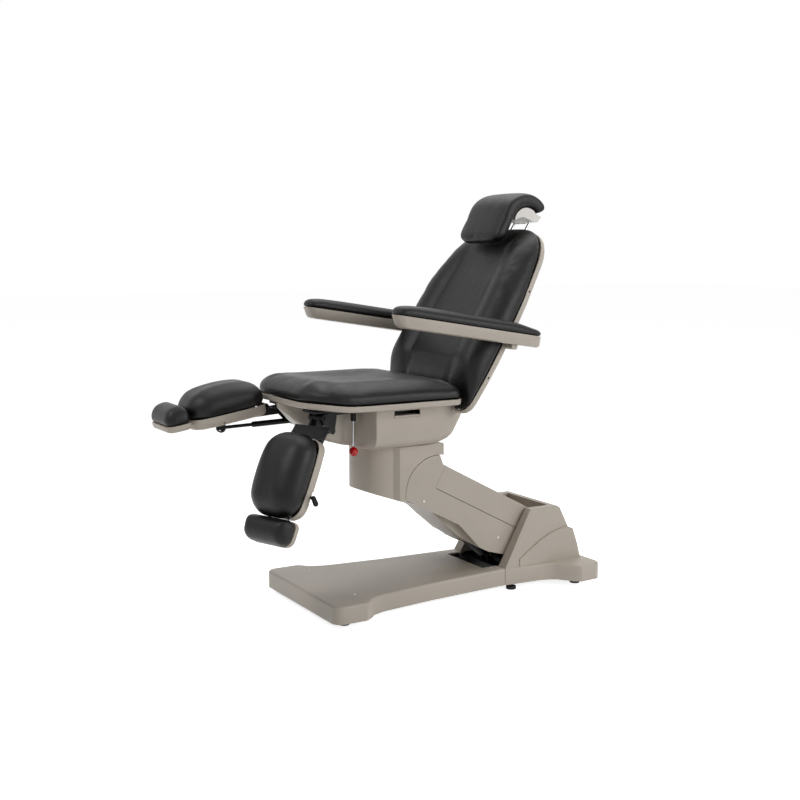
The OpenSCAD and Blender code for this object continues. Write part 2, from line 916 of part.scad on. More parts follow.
// Outline of the column cover in plan, drawn in by a wall
function column_plan(inset = 0) =
  let (
    cheek = arm_w / 2 - inset,
    nose_w = arm_w / 2 * 0.88 - inset,
    step_y = swivel_y - arm_w * 0.16,
    nose_c = swivel_y - arm_w * 0.24
  )
  concat(
    [[-cheek, column_rear - inset], [-cheek, step_y + inset]],
    [for (k = [0:12]) let (a = 180 + 15 * k) [nose_w * cos(a), nose_c + (nose_c - nose_y - inset) * sin(a)]],
    [[cheek, step_y + inset], [cheek, column_rear - inset]]
  );

module column_block(inset) {
  intersection() {
    translate([0, 0, column_low - over])
      linear_extrude(column_top - column_low + over - inset)
        polygon(column_plan(inset));
    across(arm_w + over)
      polygon([
        [column_rear + over, column_low], [swivel_y - arm_w * 0.14, column_low],
        [nose_y - over, column_low + arm_w * 0.18], [nose_y - over, column_top + over],
        [column_rear + over, column_top + over]
      ]);
  }
}

module column_cover() {
  mouth = 78;
  color(shell_grey)
    difference() {
      column_block(0);
      column_block(cover_wall);
      bar_x(0, upper_y, upper_z, 2 * (disc_r + run_gap * 0.8), arm_w + 2 * over);
      translate([0, swivel_y, column_top - cover_wall * 2])
        cylinder(r = mouth, h = cover_wall * 3);
    }
}

module head_pins() {
  color(bright_steel) {
    for (side = [-1, 1])
      bar_x(side * (lug_in + arm_plate_x + arm_plate_t) / 2, upper_y, upper_z, pivot_dia, arm_plate_x + arm_plate_t - lug_in + pin_head);
    bar_x((link_x + lug_in + lug_t) / 2, upper_y, upper_z - link_drop, pin_small, lug_in + lug_t - link_x + link_t);
  }
}

module seat_frame() {
  low = beam_top - beam_h;
  color(frame_black)
    difference() {
      union() {
        translate([0, swivel_y, shaft_low])
          cylinder(d = swivel_dia, h = hub_z - shaft_low + over);
        translate([0, swivel_y, hub_z])
          cylinder(r = hub_r, h = hub_t);
        translate([0, swivel_y, socket_top + rest_gap])
          cylinder(r = pedestal_r, h = hub_z - socket_top);
        translate([0, swivel_y, hub_z])
          cylinder(r = pedestal_r, h = low - hub_z + over);
        for (side = [-1, 1]) {
          box([side * beam_x - beam_w / 2, mount_rear + over, low], [side * beam_x + beam_w / 2, seat_rear + over, beam_top]);
          back_lug(side);
        }
        box([-beam_x, swivel_y - hub_r, low], [beam_x, swivel_y + hub_r, low + hub_t * 1.5]);
        box([-mount_out, mount_rear - beam_w, low], [mount_out, mount_rear + 2 * over, mount_low]);
        for (side = [-1, 1])
          side_box(
            side, [beam_x, seat_rear - beam_w, low],
            [hinge_lug_x, seat_rear - beam_w / 2, beam_top]
          );
        for (s = [-1, 1]) {
          back_motor_lug(s);
          paddle_lug(s);
        }
      }
      bar_x(0, back_y, back_z, hinge_pin + 2 * fit, base_w);
      bar_x(back_motor_x, back_motor_y, back_motor_z, motor_pin + 2 * fit, beam_w * 2);
      translate([paddle_x, grip_y, paddle_z])
        rotate([90, 0, 0])
          cylinder(d = paddle_rod + 2 * fit, h = 3 * grip_half, center = true);
    }
}

// A lug that carries one end of the paddle's hinge rod
module paddle_lug(s) {
  y = grip_y + s * (grip_half + paddle_rod);
  box([beam_x, y - paddle_rod, paddle_z - paddle_rod], [paddle_x + paddle_rod, y + paddle_rod, paddle_z + paddle_rod]);
}

// The ear that carries the back hinge, behind the seat
module back_lug(side) {
  x = side * (hinge_lug_x - hinge_lug_t / 2);
  translate([x, 0, 0])
    across(hinge_lug_t)
      polygon(concat(
        [[seat_rear - beam_w, beam_top - beam_h], [back_y - hinge_pin / 2, beam_top - beam_h]],
        arc([back_y, back_z], hinge_pin * 0.9, -60, 110, 10),
        [[seat_rear + run_gap, beam_top], [seat_rear - beam_w, beam_top]]
      ));
}

module back_motor_lug(s) {
  r = 13;
  translate([back_motor_x + s * (back_rod_dia / 2 + run_gap + clevis_t / 2), 0, 0])
    across(clevis_t)
      polygon(concat(
        arc([back_motor_y, back_motor_z], r, 180, 360),
        [[back_motor_y + r, beam_top - beam_h + over], [back_motor_y - r, beam_top - beam_h + over]]
      ));
}

// Rise of the seat's rim towards its front
function front_lift(y) = front_rise * ease((blend(seat_front, seat_rear, 0.3) - y) / (0.3 * (seat_rear - seat_front)));

function seat_outline(inset = 0) =
  board(seat_front, seat_rear, seat_corner, seat_w * 0.07, [[0, seat_w / 2], [1, seat_w / 2]], inset, 7, 6, 4);

function seat_ring(inset, z) = [for (p = seat_outline(inset)) [p.x, p.y, z + front_lift(p.y)]];

// Sections of the boat-shaped housing: place from its rear end, half width, underside, upper edge
hull_shares = [
  [0.000, 0.975, 0.70, 0.88], [0.019, 0.98, 0.46, 0.88], [0.021, 0.985, 0.43, 1], [0.060, 0.995, 0.17, 1], [0.090, 1, 0.09, 1],
  [0.15, 1, 0.02, 1], [0.34, 1, 0, 1], [0.484, 1, 0, 1], [0.487, 1, 0, 0.94], [0.56, 1, 0, 0.94],
  [0.575, 0.93, 0.02, 0.94], [0.60, 0.70, 0.03, 0.94], [0.622, 0.48, 0.05, 0.94], [0.665, 0.42, 0.08, 0.94],
  [0.668, 0.42, 0.08, 1], [0.75, 0.39, 0.18, 1], [0.84, 0.33, 0.40, 1], [0.92, 0.22, 0.66, 1], [1.0, 0.06, 0.98, 1]
];

// One section of the housing as a ring in X and Z
function hull_ring(row, inset) =
  let (
    y = blend(hull_rear - inset, seat_front + inset, row[0]),
    w = max(row[1] * hull_w / 2 - inset, hull_w * 0.01),
    top = blend(hull_low, seat_under - rest_gap, row[3]) + front_lift(y) + (inset > 0 ? over : 0),
    low = min(blend(hull_low, seat_under, row[2]) + inset, top - over),
    r = min(w * 0.24, (top - low) * 0.6)
  )
  concat(
    [[w, y, top]],
    [for (k = [0:5]) [w - r * (1 - cos(18 * k)), y, low + r * (1 - sin(18 * k))]],
    [for (k = [5:-1:0]) [-w + r * (1 - cos(18 * k)), y, low + r * (1 - sin(18 * k))]],
    [[-w, y, top]]
  );

module hull_block(inset) {
  skin([for (k = [len(hull_shares) - 1:-1:0]) hull_ring(hull_shares[k], inset)]);
}

module underseat_housing() {
  color(shell_grey)
    difference() {
      hull_block(0);
      hull_block(shell_wall);
      translate([0, swivel_y, hull_low - over])
        cylinder(r = hub_r * 0.8, h = shell_wall * 3);
      // The finger grip
      box(
        [hull_w / 2 - 2 * shell_wall, grip_y - grip_half, grip_low],
        [hull_w / 2 + over, grip_y + grip_half, grip_low + grip_h]
      );
      // The back's rails pass over the rear wall, and its lever through it
      box(
        [-hinge_lug_x - 2 * run_gap, seat_rear, beam_top - beam_h - run_gap],
        [hinge_lug_x + 2 * run_gap, -seat_rear, seat_under + over]
      );
      for (side = [-1, 1])
        bar_x(side * hull_w / 2, button_y, button_z, button_dia + 2 * fit, 6 * shell_wall);
      box(
        [back_motor_x - back_rod_dia - clevis_t, seat_rear, back_motor_z - back_rod_dia * 1.6],
        [back_motor_x + back_rod_dia + clevis_t, seat_rear + seat_w, seat_under]
      );
    }
}

module seat_shell() {
  step = rim_h / 4;
  color(shell_grey)
    difference() {
      skin([
        seat_ring(step, seat_under), seat_ring(step * 0.3, seat_under + step * 0.4),
        seat_ring(0, seat_under + step * 1.4), seat_ring(0, shell_top)
      ]);
      skin([seat_ring(shell_wall + step, seat_under + shell_wall), seat_ring(shell_wall, shell_top + over)]);
    }
}

// Rings of a cushion over an outline: rows of [share of inset, share of height]
pad_shares = [
  [0.030, 0.00], [0.000, 0.10], [-0.008, 0.28], [0.004, 0.50], [0.045, 0.72], [0.11, 0.88],
  [0.19, 0.97], [0.25, 1.00], [0.31, 0.965], [0.36, 0.94], [0.46, 0.955], [0.62, 0.975], [0.78, 0.985]
];

module seat_cushion() {
  unit = seat_w / 2;
  color(leather_black)
    skin(concat(
      [seat_ring(shell_wall + rim_h / 4 + run_gap, seat_under + shell_wall + rest_gap)],
      [seat_ring(shell_wall + run_gap, shell_top - run_gap)],
      [
        for (row = pad_shares)
        [
          for (p = seat_outline(row[0] * unit + over * 2))
          [p.x, p.y, shell_top + rest_gap + front_lift(p.y) + row[1] * seat_pad_h * seat_swell(p)]
        ]
      ]
    ));
}

// The seat cushion is fullest in front and dips where the patient sits
function seat_swell(p) =
  let (t = (p.y - seat_front) / (seat_rear - seat_front), side = pow(p.x / (seat_w / 2), 2))
  1 - 0.16 * sin(180 * min(1, max(0, t * 1.1 - 0.05))) * (1 - side) - 0.10 * max(0, t - 0.8) * 5 * (1 - side);

module leg_mount_plates() {
  color(frame_black)
    for (side = [-1, 1])
      difference() {
        union() {
          side_box(side, [mount_in, mount_front, mount_low], [mount_out, mount_rear, mount_top]);
          translate([side * leg_x, leg_y, mount_low - mount_t * 3])
            cylinder(d = bracket_pin, h = mount_t * 3 + over);
        }
        index_slot(side);
      }
}

// The curved slot that the plunger's tip runs in
module index_slot(side) {
  w = index_pin / 2 + slot_play;
  from = 90 - side * index_turn;
  to = from + side * swing_span;
  translate([side * leg_x, leg_y, mount_low - over])
    linear_extrude(mount_t + 2 * over)
      polygon(concat(
        arc([0, 0], index_r + w, from, to),
        arc(index_r * [cos(to), sin(to)], w, to + side * 15, to + side * 165, 10),
        arc([0, 0], index_r - w, to, from),
        arc(index_r * [cos(from), sin(from)], w, from + side * 195, from + side * 345, 10)
      ));
}

// Where the plunger stands, from the swing pivot
function index_at(side) = -index_r * [side * sin(index_turn), cos(index_turn)];

module back_hinge_pins() {
  color(bright_steel) {
    for (side = [-1, 1])
      bar_x(side * (hinge_lug_x - hinge_lug_t), back_y, back_z, hinge_pin, 2 * (hinge_lug_t + run_gap));
    bar_x(back_motor_x, back_motor_y, back_motor_z, motor_pin, back_rod_dia + 2 * (run_gap + clevis_t));
  }
}

module side_buttons() {
  face = hull_w / 2 + over;
  color(steel_grey)
    for (side = [-1, 1])
      bar_x(side * (face - shell_wall), button_y, button_z, button_dia, 2 * shell_wall);
}

// The lever's hinge rod lies along the seat, inside the housing
module swivel_paddle() {
  color(shell_grey)
    union() {
      translate([paddle_x, grip_y, paddle_z])
        rotate([90, 0, 0])
          cylinder(d = paddle_rod, h = 2 * grip_half + paddle_rod * 2, center = true);
      box(
        [paddle_x, grip_y - grip_half + run_gap, paddle_z - paddle_rod / 2],
        [hull_w / 2 + shell_wall / 4, grip_y + grip_half - run_gap, paddle_z + paddle_rod / 2]
      );
      box(
        [hull_w / 2 - shell_wall, grip_y - grip_half + run_gap, grip_low + over],
        [hull_w / 2 + shell_wall / 4, grip_y + grip_half - run_gap, paddle_z + paddle_rod / 2]
      );
    }
}

module back_frame() {
  tube = hinge_pin * 1.9;
  rail_top_n = -rest_gap * 10;
  rail_low_n = rail_top_n - back_rail_t;
  bar_d = back_len * 0.82;
  color(frame_black)
    on_back()
      difference() {
        union() {
          bar_x(0, 0, 0, tube, 2 * (hinge_lug_x - hinge_lug_t - rest_gap));
          for (side = [-1, 1])
            box(
              [side * back_rail_x - back_rail_w / 2, 0, rail_low_n],
              [side * back_rail_x + back_rail_w / 2, bar_d, rail_top_n]
            );
          for (d = [armrest_d, bar_d])
            box([-back_rail_x, d - back_rail_w / 2, rail_low_n], [back_rail_x, d + back_rail_w / 2, rail_top_n]);
          for (side = [-1, 1])
            translate([side * rod_x, 0, rod_n])
              along_y(rod_dia * 1.7, rod_low + rod_dia * 4, back_len - cover_wall * 3);
          for (s = [-1, 1])
            translate([back_motor_x + s * (back_rod_dia / 2 + run_gap + clevis_t / 2), 0, 0])
              across(clevis_t)
                link_profile([0, 0], back_lever, hinge_pin * 0.9, motor_pin);
          bar_x(back_motor_x, back_lever.x, back_lever.y, motor_pin, back_rod_dia + 2 * (run_gap + clevis_t));
        }
        bar_x(0, 0, 0, hinge_pin + 2 * fit, back_w);
        bar_x(0, armrest_d, armrest_n, armrest_pin + 2 * fit, back_w);
        for (side = [-1, 1])
          translate([side * rod_x, 0, rod_n])
            along_y(rod_dia + 2 * fit, 0, back_len);
      }
}

// Half width of the back along its length, as shares
back_plan_shares = [[0, 0.955], [0.21, 1], [0.56, 0.975], [0.89, 0.82], [1, 0.80]];

function back_outline(inset = 0, start = back_foot) =
  board(
    start, back_len, back_w * 0.08, back_w * 0.23,
    [for (row = back_plan_shares) [row.x, row.y * back_w / 2]], inset, 6, 7, 4
  );

module back_shell() {
  hole_dia = 8;
  color(shell_grey)
    on_back()
      difference() {
        skin([
          lifted(back_outline(back_shell_t * 0.5), -back_shell_t),
          lifted(back_outline(back_shell_t * 0.18), -back_shell_t * 0.88),
          lifted(back_outline(0), -back_shell_t * 0.6),
          lifted(back_outline(0), -rest_gap)
        ]);
        skin([
          lifted(back_outline(back_shell_t * 0.5 + cover_wall), -back_shell_t + cover_wall),
          lifted(back_outline(cover_wall), -back_shell_t * 0.6 + cover_wall / 2),
          lifted(back_outline(cover_wall), over)
        ]);
        // Room for the hinge between the two lower corners
        box(
          [-hull_w / 2 - run_gap * 3, -back_shell_t - over, -back_shell_t - over],
          [hull_w / 2 + run_gap * 3, back_shell_t * 1.6, over]
        );
        bar_x(0, armrest_d, armrest_n, armrest_pin + run_gap, back_w + over);
        for (d = [0.17, 0.66])
          bar_x(0, d * back_len, -back_shell_t * 0.4, hole_dia, back_w + over);
        for (side = [-1, 1])
          translate([side * rod_x, 0, rod_n])
            along_y(rod_dia + 2 * run_gap, back_len / 2, back_len + over);
      }
}

// The back cushion thins towards its foot, to clear the seat
function back_swell(d) = read(back_swell_shares, d / back_len);

back_swell_shares = [
  [-0.04, 0.12], [0, 0.14], [0.014, 0.21], [0.056, 0.46], [0.112, 0.73], [0.168, 0.94], [0.21, 1], [0.6, 1],
  [0.9, 0.84], [1, 0.72]
];
back_pad_shares = [
  [0.004, 0.00], [0.000, 0.10], [-0.004, 0.30], [0.010, 0.54], [0.050, 0.79], [0.10, 0.94], [0.16, 1.00],
  [0.22, 0.96], [0.27, 0.86], [0.31, 0.80], [0.42, 0.785], [0.60, 0.80], [0.80, 0.80]
];

module back_cushion() {
  unit = back_w / 2;
  hinge_room = hinge_pin * 1.3;
  color(leather_black)
    on_back()
      difference() {
        skin([
          for (row = back_pad_shares)
          [
            for (p = back_outline(row[0] * unit + over * 2, back_pad_foot))
            [p.x, p.y, rest_gap + row[1] * back_pad_h * back_swell(p.y)]
          ]
        ]);
        box([-hull_w / 2 - run_gap, -back_pad_h, -over], [hull_w / 2 + run_gap, hinge_room, back_pad_h]);
      }
}

module armrest_pins() {
  color(bright_steel)
    on_back()
      for (side = [-1, 1])
        bar_x(
          side * (back_rail_x - back_rail_w + arm_in + armrest_w * 0.55) / 2, armrest_d, armrest_n,
          armrest_pin, arm_in + armrest_w * 0.55 - back_rail_x + back_rail_w
        );
}

// Where the back actuator's rod meets the lever under the back's hinge, in the back's frame
back_lever = back_lever_r * [cos(back_lever_fall + back_angle), -sin(back_lever_fall + back_angle)];
back_tip_y = back_y + back_lever_r * cos(back_lever_fall);

module back_motor() {
  eye = 22;
  body = 190;
  color(frame_black)
    translate([back_motor_x, back_motor_y, back_motor_z])
      difference() {
        union() {
          bar_x(0, 0, 0, eye, back_rod_dia);
          along_y(eye * 0.7, 0, eye * 1.2);
          along_y(back_motor_dia, eye, body);
          along_y(back_motor_dia * 0.75, body - over, body + eye / 2);
        }
        bar_x(0, 0, 0, motor_pin + 2 * fit, back_motor_dia * 2);
        along_y(back_rod_dia + 2 * rest_gap, eye * 2, body + eye);
      }
}

module back_motor_rod() {
  eye_bore = motor_pin + 2 * eye_play;
  tip = back_tip_y - back_motor_y;
  color(bright_steel)
    translate([back_motor_x, back_motor_y, back_motor_z])
      difference() {
        union() {
          along_y(back_rod_dia, tip - back_rod_len, tip - eye_bore / 2);
          bar_x(0, tip, 0, eye_bore + motor_pin, back_rod_dia - over);
        }
        bar_x(0, tip, 0, eye_bore, back_rod_dia + over);
      }
}

module headrest_rods() {
  color(bright_steel)
    on_back() {
      for (side = [-1, 1])
        translate([side * rod_x, 0, rod_n])
          along_y(rod_dia, rod_low, head_pivot_d);
      bar_x(0, head_pivot_d, rod_n, rod_dia * 1.6, 2 * rod_x + rod_dia * 2);
    }
}

// Middle of the curved cushion, in the back's frame
head_c = [back_len * 1.02, head_r * 0.44];
// Where its arc ends and the leg begins
head_bend = 95;

// One section of the curved cushion at an angle round its middle
function head_ring(a, grow) =
  let (
    mid = head_r - head_t / 2,
    th = head_t / 2 * grow,
    w = head_w / 2 - head_t / 2 * (1 - grow),
    r = th * 0.6,
    b = min(a, head_bend),
    leg = max(0, a - head_bend) / 180 * PI * mid,
    quarter = [for (k = [0:4]) [w - r * (1 - cos(22.5 * k)), th - r * (1 - sin(22.5 * k))]],
    half = concat(quarter, [[w * 0.4, th + head_t * 0.05 * grow], [-w * 0.4, th + head_t * 0.05 * grow]],
      [for (k = [4:-1:0]) [-quarter[k].x, quarter[k].y]]),
    ring = concat(half, [for (k = [len(half) - 1:-1:0]) [half[k].x, -min(half[k].y, th)]])
  )
  [
    for (p = ring)
    let (rho = mid + p.y)
    [p.x, head_c.x + rho * cos(b) - leg * sin(b), head_c.y + rho * sin(b) + leg * cos(b)]
  ];

module headrest_cushion() {
  turns = [-29, -27, -22, -14, 0, 18, 36, 54, 72, 84, head_bend, 120, 146, 166, 177, 182, 185];
  grows = [0.45, 0.72, 0.92, 1, 1, 1, 1, 1, 1, 1, 1, 1, 1, 0.97, 0.86, 0.66, 0.4];
  color(leather_black)
    on_back()
      skin([for (k = [0:len(turns) - 1]) head_ring(turns[k], grows[k])]);
}

module headrest_plate() {
  inner = (head_r - head_t) * cos(9) - rest_gap;
  lug = rod_dia * 1.4;
  color(plate_white)
    on_back()
      difference() {
        union() {
          across(head_w * 0.9)
            polygon(concat(
              arc(head_c, inner, -20, 112, 14),
              [head_c + inner * [0.15, 0.45]],
              arc(head_c + head_r * [0.36, -0.26], head_r * 0.16, 200, 290, 6),
              arc(head_c + head_r * [0.41, -0.36], head_r * 0.1, 290, 340, 6)
            ));
          for (side = [-1, 1])
            translate([side * lug * 1.2, 0, 0])
              across(lug)
                link_profile(
                  [head_pivot_d, rod_n], head_c + head_r * [0.38, -0.42], lug, lug
                );
        }
        bar_x(0, head_pivot_d, rod_n, rod_dia * 1.6 + 2 * fit, head_w);
        bar_x(0, head_pivot_d, rod_n, rod_dia * 1.6 + 2 * run_gap, lug);
      }
}

armrest_y = back_y + armrest_d * cos(back_angle) - armrest_n * sin(back_angle);
armrest_z = back_z + armrest_d * sin(back_angle) + armrest_n * cos(back_angle);

// An armrest's frame: origin at its pivot, Y towards its front, X across it
module on_armrest(side) {
  translate([side * (arm_in + armrest_w / 2), armrest_y, armrest_z])
    rotate([0, 0, 180])
      rotate([armrest_angle, 0, 0])
        children();
}

armrest_tail = -103;
armrest_shares = [[0, 0.92], [0.3, 1], [0.9, 1], [1, 0.92]];

function armrest_outline(tip, inset = 0) =
  board(
    armrest_tail, armrest_tail + armrest_len - tip, armrest_w * 0.42, armrest_w * 0.32,
    [for (row = armrest_shares) [row.x, row.y * armrest_w / 2]], inset, 4, 5, 3
  );

module armrest_shell(side) {
  low = armrest_low;
  top = low + armrest_h;
  boss = 12;
  color(shell_grey)
    on_armrest(side)
      difference() {
        union() {
          skin([
            lifted(armrest_outline(armrest_h * 0.62, armrest_w * 0.14), low),
            lifted(armrest_outline(armrest_h * 0.52, armrest_w * 0.04), low + armrest_h * 0.08),
            lifted(armrest_outline(armrest_h * 0.42, 0), low + armrest_h * 0.24),
            lifted(armrest_outline(0, 0), top)
          ]);
          bar_x(side * armrest_w * 0.18, 0, 0, 2 * boss, armrest_w * 0.62);
        }
        skin([
          lifted(armrest_outline(armrest_h * 0.5, armrest_w * 0.12), low + armrest_h * 0.8),
          lifted(armrest_outline(armrest_h * 0.2, armrest_w * 0.08), top + over)
        ]);
        bar_x(side * armrest_w * 0.22, 0, 0, armrest_pin + 2 * fit, armrest_w * 0.6);
      }
}

pad_end_shares = [
  [0.10, 0.00], [0.02, 0.12], [0.0, 0.34], [0.06, 0.62], [0.22, 0.84], [0.44, 0.95], [0.7, 1.0]
];

module armrest_pad(side) {
  height = 32;
  color(leather_black)
    on_armrest(side)
      skin([
        for (row = pad_end_shares)
        [
          for (p = armrest_outline(0, row[0] * armrest_w / 2 - over))
          [
            p.x, p.y,
            armrest_low + armrest_h + rest_gap
            + row[1] * height * blend(0.62, 1, ease((p.y - armrest_tail) / (armrest_len * 0.2)))
          ]
        ]
      ]);
}
module left_armrest_shell() armrest_shell(1);
module left_armrest_pad() armrest_pad(1);
module right_armrest_shell() armrest_shell(-1);
module right_armrest_pad() armrest_pad(-1);

// The strut's two ends in the plane of a leg, from the swing pivot
strut_foot = [hinge_reach - strut_back, hinge_z - strut_drop];
function strut_head(drop) = [
  hinge_reach + strut_d * cos(drop) + strut_n * sin(drop),
  hinge_z - strut_d * sin(drop) + strut_n * cos(drop)
];
function leg_drop(side) = side > 0 ? left_drop : right_drop;

module on_strut(side) {
  v = strut_head(leg_drop(side)) - strut_foot;
  on_swing(side)
    translate([0, strut_foot.x, strut_foot.y])
      rotate([atan2(v.y, v.x), 0, 0])
        children();
}

module swing_bracket(side) {
  top = mount_low - rest_gap;
  plate = 11;
  tail = index_at(side);
  sleeve = 18;
  color(frame_black)
    on_swing(side)
      difference() {
        union() {
          translate([0, 0, top - plate])
            linear_extrude(plate)
              polygon(concat(
                arc(tail, sleeve * 0.7, 180, 360),
                [[ear_in + ear_t, -bracket_pin], [ear_in + ear_t, bracket_pin * 0.9],
                 [-ear_in - ear_t, bracket_pin * 0.9], [-ear_in - ear_t, -bracket_pin]]
              ));
          for (s = [-1, 1])
            translate([s * (ear_in + ear_t / 2), 0, 0])
              across(ear_t)
                polygon(concat(
                  arc(strut_foot, hub_dia * 0.4, 150, 300, 8),
                  arc([hinge_reach, hinge_z], hub_dia / 2, -40, 90, 8),
                  [[-bracket_pin, top - over]]
                ));
          bar_x(0, strut_foot.x, strut_foot.y, strut_pin, 2 * (ear_in + ear_t));
          bar_x(0, hinge_reach, hinge_z, leg_hinge_pin, 2 * ear_in + 3 * ear_t);
          translate([tail.x, tail.y, top - plate - sleeve * 1.7])
            cylinder(d = sleeve, h = sleeve * 1.8);
        }
        translate([0, 0, top - plate - over])
          cylinder(d = bracket_pin + 2 * fit, h = plate + 2 * over);
        translate([tail.x, tail.y, top - plate - sleeve * 2])
          cylinder(d = index_pin + 2 * fit, h = sleeve * 3);
      }
}

module release_knob(side) {
  tip = mount_top - run_gap;
  neck = 5;
  on_swing(side)
    translate(index_at(side)) {
      color(bright_steel)
        union() {
          translate([0, 0, tip - mount_t * 5])
            cylinder(d = index_pin, h = mount_t * 5);
          translate([0, 0, knob_z])
            cylinder(d = neck, h = tip - knob_z - mount_t);
        }
      color(ball_red)
        translate([0, 0, knob_z])
          sphere(d = knob_ball);
    }
}

module leg_frame(side) {
  plate_low = leg_rim - leg_shell_h + leg_wall + rest_gap;
  plate_t2 = 6;
  neck_in = 12;
  neck_t = 9;
  guard_half = leg_w * 0.41;
  out = -side;
  lever_block = foot_rod_x + guide_dia;
  color(frame_black)
    on_leg(side)
      difference() {
        union() {
          bar_x(0, 0, 0, hub_dia, 2 * (ear_in - rest_gap));
          for (s = [-1, 1])
            translate([s * (neck_in + neck_t / 2), 0, 0])
              across(neck_t)
                link_profile([0, 0], [leg_start * 1.6, hub_dia * 0.3], hub_dia / 2 - over, hub_dia * 0.35);
          box([-leg_w * 0.32, leg_start * 1.25, plate_low], [leg_w * 0.32, leg_end - leg_wall * 7, plate_low + plate_t2]);
          for (s = [-1, 1]) {
            translate([s * foot_rod_x, 0, foot_rod_n])
              along_y(guide_dia, leg_start * 2, leg_end - leg_wall * 4);
            box(
              [s * foot_rod_x - guide_dia / 4, leg_start * 2, plate_low],
              [s * foot_rod_x + guide_dia / 4, leg_end - leg_wall * 8, foot_rod_n - guide_dia * 0.4]
            );
            translate([s * (strut_pin + ear_t / 4), 0, 0])
              across(ear_t * 0.7)
                link_profile([strut_d, strut_n], [strut_d, plate_low], strut_pin, strut_pin * 1.2);
          }
          bar_x(0, strut_d, strut_n, strut_pin * 0.8, 2 * strut_pin + ear_t);
          across(2 * guard_half)
            polygon([
              [leg_start - rest_gap * 2, leg_rim - run_gap], [leg_start - leg_wall * 1.5, leg_rim * 0.52], [hub_dia * 1.1, hub_dia * 0.4],
              [hub_dia * 1.1, hub_dia * 0.5], [leg_start - leg_wall * 2.5, leg_rim * 0.6], [leg_start - leg_wall * 1.3, leg_rim - run_gap]
            ]);
          side_box(
            out, [leg_w * 0.28, lever_d - guide_dia / 2, plate_low],
            [lever_block, lever_d + guide_dia / 2, lever_n + guide_dia / 2]
          );
        }
        bar_x(0, 0, 0, leg_hinge_pin + 2 * fit, leg_w);
        for (s = [-1, 1])
          translate([s * foot_rod_x, 0, foot_rod_n])
            along_y(foot_rod_dia + 2 * fit, leg_start, leg_end);
        bar_x(out * leg_w / 4, lever_d, lever_n, lever_dia + 2 * fit, leg_w / 2);
      }
}

leg_plan_shares = [[0, 0.94], [0.35, 1], [0.7, 1], [1, 0.92]];

function leg_outline(inset = 0) =
  board(
    leg_start, leg_end, leg_corner * 0.8, leg_corner,
    [for (row = leg_plan_shares) [row.x, row.y * leg_w / 2]], inset, 5, 4, 3
  );

module leg_shell(side) {
  low = leg_rim - leg_shell_h;
  notch_x = leg_w / 2 - leg_wall * 3;
  color(shell_grey)
    on_leg(side)
      difference() {
        union() {
          difference() {
            skin([
              lifted(leg_outline(leg_shell_h * 0.3), low),
              lifted(leg_outline(leg_shell_h * 0.11), low + leg_shell_h * 0.09),
              lifted(leg_outline(0), low + leg_shell_h * 0.3),
              lifted(leg_outline(0), leg_rim)
            ]);
            skin([
              lifted(leg_outline(leg_shell_h * 0.3 + leg_wall), low + leg_wall),
              lifted(leg_outline(leg_wall), low + leg_shell_h * 0.32),
              lifted(leg_outline(leg_wall), leg_rim + over)
            ]);
          }
          // The wall behind each notch
          for (s = [-1, 1])
            side_box(
              s, [notch_x - leg_wall, lever_d - notch_half - leg_wall, low + over],
              [notch_x + leg_wall, lever_d + notch_half + leg_wall, lever_n + lever_dia]
            );
        }
        box(
          [-leg_w * 0.16, leg_start - over, low - over],
          [leg_w * 0.16, strut_d + strut_pin * 2.5, low + leg_shell_h * 0.45]
        );
        for (s = [-1, 1]) {
          translate([s * foot_rod_x, 0, foot_rod_n])
            along_y(foot_rod_dia + run_gap, leg_end - leg_wall * 3, leg_end + over);
          // The finger notch in each side
          side_box(
            s, [notch_x, lever_d - notch_half, low - over],
            [leg_w, lever_d + notch_half, lever_n + lever_dia * 0.4]
          );
        }
        bar_x(-side * leg_w / 2, lever_d, lever_n, lever_dia + run_gap, leg_w / 3);
      }
}

leg_pad_shares = [
  [0.01, 0.00], [-0.02, 0.12], [-0.035, 0.30], [-0.02, 0.48], [0.04, 0.66], [0.15, 0.81], [0.31, 0.92],
  [0.52, 0.98], [0.76, 1.0]
];

module leg_cushion(side) {
  color(leather_black)
    on_leg(side)
      skin([
        for (row = leg_pad_shares)
        lifted(leg_outline(row[0] * leg_w / 2 + over / 2), leg_rim + rest_gap + row[1] * leg_pad_h)
      ]);
}

module strut_sleeve(side) {
  color(frame_black)
    on_strut(side)
      difference() {
        union() {
          bar_x(0, 0, 0, hub_dia * 0.8, strut_dia);
          along_y(strut_dia, 0, sleeve_len);
        }
        bar_x(0, 0, 0, strut_pin + 2 * fit, leg_w);
        along_y(strut_rod_dia + 2 * rest_gap, strut_dia * 1.5, sleeve_len + over);
      }
}

module strut_rod(side) {
  eye_bore = strut_pin * 0.8 + 2 * eye_play;
  span = norm(strut_head(leg_drop(side)) - strut_foot);
  color(steel_grey)
    on_strut(side)
      difference() {
        union() {
          along_y(strut_rod_dia, span - strut_rod_len, span - eye_bore / 2 - strut_pin / 4);
          bar_x(0, span, 0, eye_bore + strut_pin, strut_rod_dia - over);
        }
        bar_x(0, span, 0, eye_bore, leg_w);
      }
}

module foot_rails(side) {
  color(bright_steel)
    on_leg(side)
      for (s = [-1, 1])
        translate([s * foot_rod_x, 0, foot_rod_n])
          along_y(foot_rod_dia, leg_start * 1.8, leg_end + foot_gap + foot_rod_dia);
}

function foot_outline(inset = 0) =
  board(
    leg_end + foot_gap, leg_end + foot_gap + foot_len, leg_w * 0.11, leg_w * 0.17,
    [[0, leg_w / 2], [1, leg_w / 2]], inset, 4, 3, 3
  );

